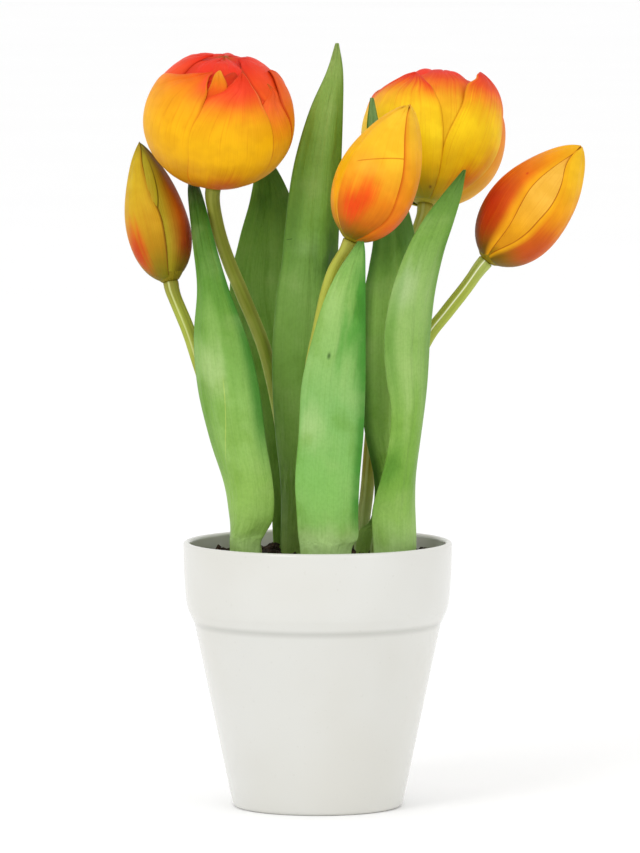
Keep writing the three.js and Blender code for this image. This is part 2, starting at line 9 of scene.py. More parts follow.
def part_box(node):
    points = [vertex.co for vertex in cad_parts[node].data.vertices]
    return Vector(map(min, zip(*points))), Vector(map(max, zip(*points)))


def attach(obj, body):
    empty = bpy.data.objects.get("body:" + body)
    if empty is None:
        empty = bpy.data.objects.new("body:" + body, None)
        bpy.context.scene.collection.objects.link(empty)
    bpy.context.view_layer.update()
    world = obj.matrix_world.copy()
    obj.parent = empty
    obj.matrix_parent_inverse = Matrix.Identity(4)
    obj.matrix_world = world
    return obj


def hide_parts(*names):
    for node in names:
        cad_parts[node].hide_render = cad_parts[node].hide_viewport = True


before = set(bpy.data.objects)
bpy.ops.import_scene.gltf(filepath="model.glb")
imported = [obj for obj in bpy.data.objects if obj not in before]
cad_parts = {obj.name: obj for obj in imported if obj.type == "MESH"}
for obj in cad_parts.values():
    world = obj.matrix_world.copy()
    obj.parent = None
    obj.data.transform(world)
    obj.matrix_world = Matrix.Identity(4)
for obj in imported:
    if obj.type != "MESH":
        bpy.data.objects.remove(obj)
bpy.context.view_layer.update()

# A potted tulip: two full double blooms, three buds and six leaves in a glazed pot.
# Sizes and places are in millimetres and become metres where a mesh is made. +Z is up, -Y is the
# front of the plant, and the origin is the middle of the pot's flat base.

MM = 0.001
WELD = 0.02 * MM  # vertices nearer than this are joined

# ---------------------------------------------------------------- sizes and places

# collar: how far it stands out of the body's top and over its own foot, as points of its profile.
# inner_foot: the same for the rounded corner inside, from the wall's foot and the floor.
POT = {
    "base_radius": 33.6,
    "body_top_radius": 48.4,
    "band_foot": 73.5,
    "collar": [(0, -1), (0.6, 0), (1.7, 2.4), (2.7, 5), (3.5, 10)],
    "collar_full": 20,
    "collar_draft": 0.2,
    "collar_steps": 5,
    # Where the painted shade along the crease under the collar lies, and how wide it is.
    "crease_level": 72.6,
    "crease_shade_width": 2.2,
    "corner_round": 1.8,
    "corner_steps": 8,
    "lip_round": 1.3,
    "lip_steps": 14,
    "wall": 2.6,
    "floor": 4,
    "inner_foot": [(-2, 0), (0.8, 2.6)],
    "inner_step": {"below": 3, "above": 5, "inset": 1.2},
    "lip_straight": 12,
    "steps": 160,
}

# lump_layers: how smooth the lumps are, the step from one size of them to the next, and the number
# of sizes.
SOIL = {
    "level": 98,
    "bump": 0.8,
    "fine_share": 0.8,
    "lump_height": 0.9,
    "lump_scale": 0.22,
    "lump_layers": (0.8, 2.2, 4),
    "gap": 0.3,
    "cells": 110,
}

CRUMBS = {
    "count": 760,
    "seed": 7,
    "size": (0.5, 1.5),
    "clod_share": 0.08,
    "clod_growth": 1.7,
    "from_wall": 2.4,
    "rise": 0.25,
    "squash": [(0.7, 1.3), (0.7, 1.3), (0.5, 0.9)],
    "uneven": 0.16,
}

BULB = {"ring": 25, "nose_level": 88.3}
BULB_BEARING = {"a": 115, "b": 47, "c": 188, "d": 262, "e": 338}

STEM = {
    "radius": 2.85,
    "collar": 0.35,
    "collar_start": 0.94,
    "ridge": 0.05,
    "ridges": 3,
    "uneven": 0.12,
    "uneven_waves": 9,
    "upright": 14,
    "neck": 4,
    "gap": 0.05,
    "around": 28,
    "rings": 110,
}

# Each stem's way up from its bulb, as points; the flower's base is the last one.
STEM_WAY = {
    "a": [(-12.5, 22.5, 135), (-20.5, 18.5, 177), (-29.4, 16, 200), (-35.1, 12.5, 214),
          (-39.2, 9.5, 227), (-40.9, 5, 243.5)],
    "b": [(19.4, 17.8, 122), (23, 15, 160), (31.4, 13.5, 195), (37.2, 13.8, 214), (39.7, 14.8, 226),
          (42.3, 18, 236)],
    "c": [(-29, -3, 115), (-38, -1.5, 148), (-45.9, -1, 172.7), (-50.6, 1, 187),
          (-57.7, 6, 206)],
    "d": [(-3.4, -25, 135), (-2.6, -25.5, 172), (0.6, -26, 189.4), (3.7, -26.4, 204),
          (6.6, -26.7, 212.8), (9.1, -26.9, 217.2), (12.8, -27, 224.2)],
    "e": [(28, -9.5, 122), (32.5, -9.5, 150), (37.2, -9.3, 172), (43.2, -9, 185.8), (50.5, -9, 195.4),
          (58, -9, 205), (65.7, -9, 215.3)],
}

# The direction in which each flower's axis leaves its stem.
FLOWER_AXIS = {
    "a": (0.09, -0.2, 0.975),
    "b": (0.125, 0.3, 0.95),
    "c": (-0.214, 0.22, 0.952),
    "d": (0.393, -0.03, 0.919),
    "e": (0.638, 0, 0.77),
}

# The profile of revolution that each flower's petals lie on. A bloom is a globe whose upper half
# closes in by a share of the full curve. A bud is a long egg; lowness sets its widest place and
# fullness its flanks.
FLOWER_FORM = {
    "a": {"kind": "bloom", "radius": 29.5, "below": 25.5, "above": 28.8, "closing": 0.93},
    "b": {"kind": "bloom", "radius": 28.1, "below": 27.1, "above": 27.6, "closing": 0.85},
    "c": {"kind": "bud", "radius": 12.5, "length": 57.6, "lowness": 0.689, "fullness": 0.777},
    "d": {"kind": "bud", "radius": 16.2, "length": 58, "lowness": 0.756, "fullness": 0.68},
    "e": {"kind": "bud", "radius": 16.4, "length": 58.7, "lowness": 0.755, "fullness": 0.66},
}

# The closed heart that a flower's petals stand out of. Its foot is a small disc. sinks gives how deep
# it lies under the profile, and between which shares of the way up it comes to that depth.
# closes_at is the share from which it draws in to a point.
HEART = {
    "foot_radius": 3.4,
    "foot_share": 0.04,
    "foot_sink": 0.8,
    "sinks": {
        "bloom": [(3.4, 0.1, 0.35), (1.6, 0.72, 0.88), (0.3, 0.965, 0.99)],
        "bud": [(1.5, 0.1, 0.35), (1.4, 0.72, 0.88), (0.3, 0.965, 0.99)],
    },
    "top_share": {"bloom": 0.97, "bud": 0.996},
    "closes_at": {"bloom": 0.9, "bud": 0.97},
    "fold": {"bloom": 0.9, "bud": 0.3},
    "folds": 5,
    "fold_turn": 6,
    "fold_start": (0.4, 0.9),
    "fold_end": (0.92, 1),
    "least_radius": 0.2,
    "rows": 40,
    "columns": 48,
}

PETAL = {
    "thickness": 0.85,
    "rows": 34,
    "columns": 20,
    "margin_share": 0.3,
    "margin_power": 6,
    "tip_start": 0.86,
    "tip_share": 0.05,
    "end_round": {"bloom": 0.17, "bud": 0.068},
    "seat_rise": 1.6,
    "crowding": 1.5,
    "rib_height": 0.08,
    "ribs": 7,
    "rib_stretch": 1.1,
    "groove_depth": 0.35,
    "groove_width": 0.14,
    "groove_start": (0.5, 0.95),
}

# The direction of a profile is taken from a step to either side, but not nearer to its ends than end.
PROFILE = {"step": 2e-3, "end": 1e-4}

# The slow unevenness of a whole flower, and how far a bloom's petal edges stray near its crown.
SWELL = {"height": 0.55, "around": 1.7, "along": 2.6}
WANDER = {"degrees": 8, "along": 9, "around": 0.11, "start": 0.55, "full": 0.75, "seed": 4}

# Petals of each flower. reach is the stretch of the profile that the petal covers, from 0 at the
# base to 1 at the top. edges are the bearings of its left and right edge in degrees, at equal
# steps from base to tip, where 0 is the front of the flower. layer is how far its outer face lies
# out of the profile, and seat is the same for the thin left and right margin, which lie on or
# under their neighbours. closing is how far its own upper half closes in. skin names its colouring.
# A bloom's inner petals are only as long as what shows of them and a little more.
PETALS = {
    "a": [
        {"skin": "gold_left", "reach": (0.07, 0.83), "layer": 0.25, "seat": (-0.9, -0.15),
         "edges": [(-100, -40), (-128, -29), (-132, -19.5), (-130, -18.5), (-118, -12.5), (-22, -8)]},
        {"skin": "gold", "reach": (0.07, 0.83), "layer": 0.1, "seat": (-0.9, -0.1),
         "edges": [(-50, 44), (-46, 52), (-40, 51), (-38, 47.5), (-16, 40), (22, 34)]},
        {"skin": "gold_side", "reach": (0.07, 0.76), "layer": -0.1, "seat": (-1.2, -1.2),
         "edges": [(34, 105), (38, 112), (38, 112), (36, 104), (36, 82), (57, 62)]},
        {"skin": "gold_right", "reach": (0.07, 0.82), "layer": 0.3, "seat": (-0.2, -0.9),
         "closing": 0.84,
         "edges": [(80, 140), (88, 156), (84, 160), (75, 156), (63, 140), (66, 100)]},
        {"skin": "gold_side", "reach": (0.07, 0.8), "layer": -0.8, "seat": (-1.5, -1.5),
         "edges": [(130, 232), (126, 250), (128, 252), (130, 250), (138, 238), (158, 216)]},
        {"skin": "scarlet", "reach": (0.46, 0.965), "layer": -0.4, "seat": (-1.2, -1.4),
         "edges": [(-168, -55), (-165, -55), (-150, -56), (-75, -56)]},
        {"skin": "scarlet_pink", "reach": (0.46, 0.965), "layer": -1.5, "seat": (-2.2, -2),
         "edges": [(-100, 10), (-100, 12), (-98, 20), (-70, 36)]},
        {"skin": "scarlet", "reach": (0.46, 0.97), "layer": -0.7, "seat": (-1.9, -1.2), "closing": 0.88,
         "edges": [(52, 165), (48, 165), (30, 160), (30, 120)]},
        {"skin": "scarlet", "reach": (0.43, 0.9), "layer": -1.5, "seat": (-2.2, -2.2),
         "edges": [(18, 104), (20, 98), (22, 90), (40, 64)]},
        {"skin": "scarlet_fold", "reach": (0.43, 0.885), "layer": -1.2, "seat": (-2.1, -1.9),
         "edges": [(-50, 42), (-48, 44), (-40, 48), (22, 50)]},
        {"skin": "scarlet", "reach": (0.47, 0.985), "layer": -1.8, "seat": (-2.4, -2.4),
         "edges": [(124, 242), (120, 244), (110, 240), (120, 230)]},
        {"skin": "orange_lobe", "reach": (0.42, 0.85), "layer": -0.55, "seat": (-1.3, -1.3),
         "edges": [(-18, -6), (-17, -2), (-16, 6), (-15, 7)]},
    ],
    "b": [
        {"skin": "lemon", "reach": (0.07, 0.785), "layer": 0.3, "seat": (0.4, -0.75), "closing": 0.92,
         "edges": [(-60, 14), (-90, 12.6), (-96, 9.4), (-94, 5.2), (-84, -2.5), (-46, -20)]},
        {"skin": "lemon_right", "reach": (0.07, 0.905), "layer": 0.5, "seat": (-0.5, -0.25), "closing": 0.5,
         "edges": [(12, 55), (10.5, 61), (8.5, 68), (17.5, 72), (29, 84), (43, 66)]},
        {"skin": "lemon_side", "reach": (0.07, 0.74), "layer": 0.5, "seat": (-0.8, -0.8), "closing": 0.76,
         "edges": [(40, 140), (44, 168), (50, 178), (54, 178), (66, 168), (96, 140)]},
        {"skin": "lemon", "reach": (0.07, 0.77), "layer": 0.6, "seat": (-0.9, -0.9), "closing": 0.56,
         "edges": [(150, 276), (148, 288), (146, 290), (148, 290), (158, 288), (200, 276)]},
        {"skin": "lemon_middle", "reach": (0.3, 0.97), "layer": -0.8, "seat": (-1.6, -1.6), "closing": 0.92,
         "edges": [(-34, 50), (-36, 52), (-36, 50), (-34, 46), (-24, 26)]},
        {"skin": "lemon_inner", "reach": (0.44, 0.92), "layer": -2.6, "seat": (-3, -3), "closing": 0.92,
         "edges": [(-136, -30), (-134, -28), (-124, -28), (-80, -44)]},
        {"skin": "lemon_inner", "reach": (0.45, 0.94), "layer": -1.9, "seat": (-2.5, -2.5), "closing": 0.9,
         "edges": [(32, 126), (32, 124), (36, 116), (56, 96)]},
        {"skin": "lemon_inner", "reach": (0.46, 0.96), "layer": -2.4, "seat": (-3, -3), "closing": 0.92,
         "edges": [(110, 238), (112, 236), (118, 228), (140, 206)]},
    ],
    "c": [
        {"skin": "moss_blush", "reach": (0.015, 0.995), "layer": 0.4, "seat": (-0.5, -0.15),
         "edges": [(-100, 0), (-110, 8), (-114, 11), (-114, 11), (-112, 4), (-108, -1.5), (-100, -6),
                   (-60, 2)]},
        {"skin": "moss_rust", "reach": (0.015, 0.99), "layer": -0.2, "seat": (-1, -0.5),
         "edges": [(-14, 130), (-6, 142), (-4, 146), (-2, 144), (4, 136), (-4, 100)]},
        {"skin": "moss_rust", "reach": (0.015, 0.97), "layer": -0.4, "seat": (-1.2, -1.2),
         "edges": [(120, 256), (122, 262), (122, 262), (122, 260), (118, 256), (112, 264)]},
        {"skin": "moss", "reach": (0.03, 0.955), "layer": 0.1, "seat": (-0.7, -0.3),
         "edges": [(-50, -12), (-50, -8), (-50, -4), (-50, 4), (-46, 15), (-40, 20), (-36, 22),
                   (-24, 22)]},
    ],
    "d": [
        {"skin": "apricot_blush", "reach": (0.015, 0.998), "layer": 0.1, "seat": (-0.2, -0.9),
         "edges": [(-45, 28), (-54, 50), (-56, 49), (-58, 44), (-60, 30), (-34, 12)]},
        {"skin": "apricot", "reach": (0.015, 0.999), "layer": 0.3, "seat": (-0.1, -0.4),
         "edges": [(20, 120), (38, 148), (35, 152), (30, 148), (16, 136), (2, 110)]},
        {"skin": "apricot_band", "reach": (0.015, 0.985), "layer": -0.2, "seat": (-1.1, -1.1),
         "edges": [(130, 306), (134, 312), (132, 314), (134, 314), (124, 310), (106, 322)]},
    ],
    "e": [
        {"skin": "ember", "reach": (0.015, 0.999), "layer": 0, "seat": (-0.5, -0.6),
         "edges": [(-120, -10), (-132, -8), (-136, -8.5), (-136, -15), (-134, -21), (-130, -21),
                   (-120, -15), (-80, 0)]},
        {"skin": "ember_right", "reach": (0.015, 0.998), "layer": 0, "seat": (-0.55, -0.4),
         "edges": [(-12, 120), (6, 130), (15, 136), (17, 136), (19, 134), (13, 130), (-6, 120),
                   (-14, 100)]},
        {"skin": "ember_right", "reach": (0.015, 0.98), "layer": -0.2, "seat": (-1.2, -1.2),
         "edges": [(112, 248), (112, 252), (110, 252), (110, 250), (106, 248), (98, 262)]},
        {"skin": "peach", "reach": (0.03, 0.94), "layer": -0.5, "seat": (-1.2, -1.2),
         "edges": [(-22, 24), (-26, 32), (-34, 34), (-40, 38), (-40, 34), (-28, 18)]},
    ],
}

LEAF = {
    "thickness": 1.0,
    "margin_share": 0.45,
    "margin_power": 3,
    "tip_start": 0.7,
    "rows": 96,
    "columns": 26,
    "crowding": 1.2,
    "wave_lag": 1.2,
    "groove_depth": 0.45,
    "groove_width": 0.07,
    "rib_height": 0.06,
    "ribs": 15,
    "uneven": 0.5,
    "uneven_scale": (1.5, 7),
    "seed_step": 5,
}

# Leaves, as stations from the foot to the tip: height, then x and y of the left margin, x and y
# of the right margin, and how far the middle of the blade bows out of the line between them.
# wave is the height of the ripple along the margins and the number of its crests.
LEAVES = {
    "leaf_front_left": {
        "wave": (0.8, 2.6),
        "stations": [
            (88, -33, -8, -22, -17, 5), (104, -34.1, -8, -22.2, -18, 5.4),
            (109, -34, -8, -20.8, -19, 5.8), (116, -34.4, -8, -17.4, -20.5, 6.4),
            (128, -36.2, -8, -17, -21, 6.4), (146, -42.3, -8.5, -19.8, -21, 6),
            (165, -47.1, -9.5, -22.6, -20.5, 5.4), (185, -48.4, -10, -27.4, -18, 4.6),
            (205, -46.9, -8, -34.5, -13, 3.4), (224, -49.2, 0, -40.4, -3.6, 2.2),
            (240, -51, 11, -45.4, 10.5, 1), (247.5, -50.4, 20, -48.8, 20, 0),
        ],
    },
    "leaf_centre_tall": {
        "wave": (0.7, 3.2),
        "stations": [
            (88, -14.4, 9, 4, 9, 5), (104, -14.6, 9, 5, 9, 5.4), (125, -14.6, 8, 7, 9, 5.6),
            (150, -17.1, 7, 8.2, 9, 5.4), (175, -18, 6, 8.6, 9.5, 5.2), (200, -16.2, 6, 8.5, 10.5, 5),
            (213, -14.3, 7.5, 8, 11.5, 5.6), (225, -13.3, 8.5, 8.3, 12, 4.4),
            (250, -9.8, 11.5, 9.3, 14.5, 3.6), (272, -3.6, 15, 10, 17, 2.4),
            (288, 3.4, 18, 9.9, 18.8, 1.2), (299.3, 7, 20, 8.2, 20.2, 0),
        ],
    },
    "leaf_back_left": {
        "wave": (0.7, 2.4),
        "stations": [
            (88, -17, 31, -4, 32, -5), (104, -17.8, 31, -4, 32, -5.4), (125, -19, 32, -3, 32.5, -5.6),
            (150, -23, 33.5, -2, 33.5, -5.6), (175, -30.2, 35, -3, 34, -5.6),
            (200, -35, 36.5, -4.6, 35.5, -5), (220, -31.4, 38, -7, 37, -4),
            (235, -27.2, 40, -9.9, 39, -2.8), (247, -24.9, 42.5, -15.2, 41.6, -1.4),
            (256, -23, 45, -21.8, 45, 0),
        ],
    },
    "leaf_front_centre": {
        "wave": (0.8, 2.8),
        "stations": [
            (88, -6, -30.5, 12, -30.5, 5), (104, -6.9, -31, 13.2, -31, 5.6),
            (109, -7.6, -31, 15.8, -31, 6), (118, -8.2, -31.4, 15.8, -31.4, 6.2),
            (132, -8.8, -32, 16.4, -32, 6.2), (150, -7.4, -32.6, 17.9, -32.6, 5.8),
            (170, -6.1, -33.6, 18.6, -33.6, 5.2), (190, -1.2, -34.8, 18.6, -34.8, 4),
            (203, 3, -36, 18.6, -36.4, 2.8), (213.4, 8.1, -37, 18.5, -37.6, 1.8),
            (220.5, 12.8, -38, 18.3, -38.4, 1), (224.6, 15.6, -38.4, 17.9, -38.6, 0),
        ],
    },
    "leaf_back_right": {
        "wave": (0.6, 2.6),
        "stations": [
            (88, 15.4, 9.5, 33, 8, 5), (106, 15.6, 9.5, 34, 9, 5.4), (113, 21, 4, 34.4, 9.5, 5),
            (128, 22.2, 2, 35, 9.5, 4.8), (150, 17.9, 1, 36.4, 9, 4.8), (175, 17.3, 0, 37.9, 7.5, 4.6),
            (200, 18.2, -1, 39.3, 5, 4), (212, 20.1, -1.4, 39.2, 3.6, 3.6),
            (226, 21.7, -2, 37.8, 1.5, 3.2), (245, 20.2, -2, 32.2, 0, 2.2), (265, 19.2, -1, 25, 0, 1.1),
            (278.6, 20.6, 1, 21.8, 1, 0),
        ],
    },
    "leaf_front_right": {
        "wave": (0.8, 2.4),
        "stations": [
            (88, 22, -26, 37.4, -16.5, 5), (104, 21.8, -27, 38.2, -17, 5.2),
            (115, 21.4, -27, 38.2, -17, 5.4), (122, 22.2, -27, 38.2, -17, 5.2),
            (133, 25, -26.5, 38.4, -17.5, 4.8), (147, 27.4, -26.5, 39.8, -18, 4.6),
            (160, 28.3, -27, 41.4, -18, 4.6), (172, 26.8, -28, 42.8, -19, 4.6),
            (188, 26.2, -29.6, 44.2, -20.5, 4.2), (205, 28.8, -31.5, 46, -23.5, 3.4),
            (220, 33.8, -33, 48.9, -29, 2.6), (232, 40.2, -35.6, 52.6, -33.5, 1.6),
            (243, 48.4, -38.8, 55.7, -37.6, 0.7), (252.5, 56.3, -41, 57.2, -41, 0),
        ],
    },
}

# ---------------------------------------------------------------- colours and skins


def srgb(red, green, blue):
    """A display colour, 0 to 255, as the linear colour that a shader takes."""
    def linear(value):
        value /= 255
        return value / 12.92 if value <= 0.04045 else ((value + 0.055) / 1.055) ** 2.4
    return (linear(red), linear(green), linear(blue), 1.0)


class Skin:
    """A material's node tree, with a short call for each kind of node that this plant needs."""

    def __init__(self, name, **shader_values):
        self.material = bpy.data.materials.new(name)
        self.material.use_nodes = True
        self.tree = self.material.node_tree
        self.shader = self.tree.nodes["Principled BSDF"]
        for socket, value in shader_values.items():
            self.shader.inputs[socket.replace("_", " ")].default_value = value

    def node(self, kind, inputs, **settings):
        made = self.tree.nodes.new(kind)
        for key, value in settings.items():
            setattr(made, key, value)
        for key, value in inputs.items():
            if isinstance(value, bpy.types.NodeSocket):
                self.tree.links.new(value, made.inputs[key])
            else:
                made.inputs[key].default_value = value
        return made

    def split(self, vector):
        return self.node("ShaderNodeSeparateXYZ", {"Vector": vector}).outputs

    def join(self, x, y, z):
        return self.node("ShaderNodeCombineXYZ", {"X": x, "Y": y, "Z": z}).outputs[0]

    def surface_place(self):
        """How far across and along its petal or leaf a point lies, each from 0 to 1."""
        made = self.node("ShaderNodeUVMap", {}, uv_map="surface")
        across, along, _ = self.split(made.outputs[0])
        return across, along

    def object_place(self):
        return self.tree.nodes.new("ShaderNodeTexCoord").outputs["Object"]

    def math(self, operation, *values, clamp=False):
        made = self.node("ShaderNodeMath", dict(enumerate(values)), operation=operation, use_clamp=clamp)
        return made.outputs[0]

    def noise(self, vector, scale=1.0, detail=3.0, roughness=0.5):
        inputs = {"Vector": vector, "Scale": scale, "Detail": detail, "Roughness": roughness}
        return self.node("ShaderNodeTexNoise", inputs).outputs[0]

    def streaks(self, across, along, wide, long, shift=0.0, detail=2):
        """Noise drawn out from foot to tip, as wide streaks across and long ones along."""
        place = self.join(self.math("MULTIPLY", across, wide), self.math("MULTIPLY", along, long), shift)
        return self.noise(place, detail=detail)

    def rise(self, value, low, high):
        """0 below low and 1 above high, with a soft passage between; falls where low is above high."""
        start, end = min(low, high), max(low, high)
        to_start, to_end = (0.0, 1.0) if low < high else (1.0, 0.0)
        inputs = {"Value": value, "From Min": start, "From Max": end, "To Min": to_start, "To Max": to_end}
        return self.node("ShaderNodeMapRange", inputs, interpolation_type="SMOOTHSTEP").outputs[0]

    def amount(self, value, low, high, most):
        """Like rise, but up to most."""
        return self.math("MULTIPLY", self.rise(value, low, high), most)

    def ramp(self, factor, stops):
        made = self.node("ShaderNodeValToRGB", {"Fac": factor})
        elements = made.color_ramp.elements
        while len(elements) > 1:
            elements.remove(elements[-1])
        elements[0].position, elements[0].color = stops[0]
        for position, colour in stops[1:]:
            elements.new(position).color = colour
        return made.outputs[0]

    def mix(self, factor, first, second, blend="MIX"):
        inputs = {0: factor, 6: first, 7: second}
        return self.node("ShaderNodeMix", inputs, data_type="RGBA", blend_type=blend).outputs[2]

    def blend(self, first, second, shares):
        """The sum of two values, each taken by its share."""
        return self.math("MULTIPLY_ADD", first, shares[0], self.math("MULTIPLY", second, shares[1]))

    def coat(self, colour, value, mark):
        """Lays a marking over a colour."""
        start, full, depth, tone = mark
        return self.mix(self.amount(value, start, full, depth), colour, srgb(*tone))

    def dye(self, colour, pigment):
        return self.mix(1.0, colour, pigment, blend="MULTIPLY")

    def stain(self, colour, value, mark):
        """Lets a marking darken a colour."""
        start, full, depth, tone = mark
        return self.mix(self.amount(value, start, full, depth), colour, self.dye(colour, srgb(*tone)))

    def distance(self, value, place):
        return self.math("ABSOLUTE", self.math("SUBTRACT", value, place))

    def add_spot(self, colour, across, along, streak, spot):
        """Lays a soft patch on a colour, whose border runs into the streaks."""
        spot_across, spot_along, width, length, depth, spot_colour = spot
        side = self.math("DIVIDE", self.math("SUBTRACT", across, spot_across), width)
        up = self.math("DIVIDE", self.math("SUBTRACT", along, spot_along), length)
        square = self.math("ADD", self.math("MULTIPLY", side, side), self.math("MULTIPLY", up, up))
        far = self.math("MULTIPLY_ADD", streak, SPOT["streak_pull"], self.math("SQRT", square))
        return self.mix(self.amount(far, SPOT["outer"], SPOT["inner"], depth), colour, srgb(*spot_colour))

    def add_line(self, colour, run, rise, line):
        """Draws a thin line, whose rise is a curve of its run."""
        level, slope, curve, start, end, width, line_colour = line
        height = self.math("MULTIPLY_ADD", self.math("MULTIPLY_ADD", run, curve, slope), run, level)
        near = self.rise(self.distance(rise, height), width, 0.0)
        begun = self.rise(run, start, start + LINE["fade_in"])
        unended = self.rise(run, end, end - LINE["fade_out"])
        drawn = self.math("MULTIPLY", near, self.math("MULTIPLY", begun, unended))
        return self.mix(drawn, colour, srgb(*line_colour))

    def paint(self, colour):
        self.tree.links.new(colour, self.shader.inputs["Base Color"])

    def gloss(self, grain, least, span):
        """Sets the roughness, which grows with the grain from least by up to span."""
        roughness = self.math("MULTIPLY_ADD", grain, span, least)
        self.tree.links.new(roughness, self.shader.inputs["Roughness"])

    def emboss(self, height, distance):
        """Raises the surface by height, whose full range of 1 stands for distance in metres."""
        bump = self.node("ShaderNodeBump", {"Height": height, "Distance": distance, "Strength": 1.0})
        self.tree.links.new(bump.outputs[0], self.shader.inputs["Normal"])


GOLD = (246, 184, 14)
DEEP_GOLD = (232, 168, 8)
OCHRE = (200, 132, 12)
OLIVE = (134, 120, 16)
AMBER = (246, 156, 24)
ORANGE = (244, 120, 26)
FLAME = (240, 70, 28)
SCARLET = (226, 38, 24)
CRIMSON = (206, 44, 18)
CREAM_GREEN = (184, 214, 150)

# Where a soft patch ends and where it is full, as shares of its size, and how far streaks pull its
# border. core is the share of the width that is full, of a margin and of a stem's line.
SPOT = {"outer": 1.35, "inner": 0.1, "streak_pull": 1.7}
MARGIN = {"core": 0.2, "fade_in": 0.18}
LINE = {"core": 0.3, "fade_in": 0.05, "fade_out": 0.03}
LEAF_RAGGED = 0.09
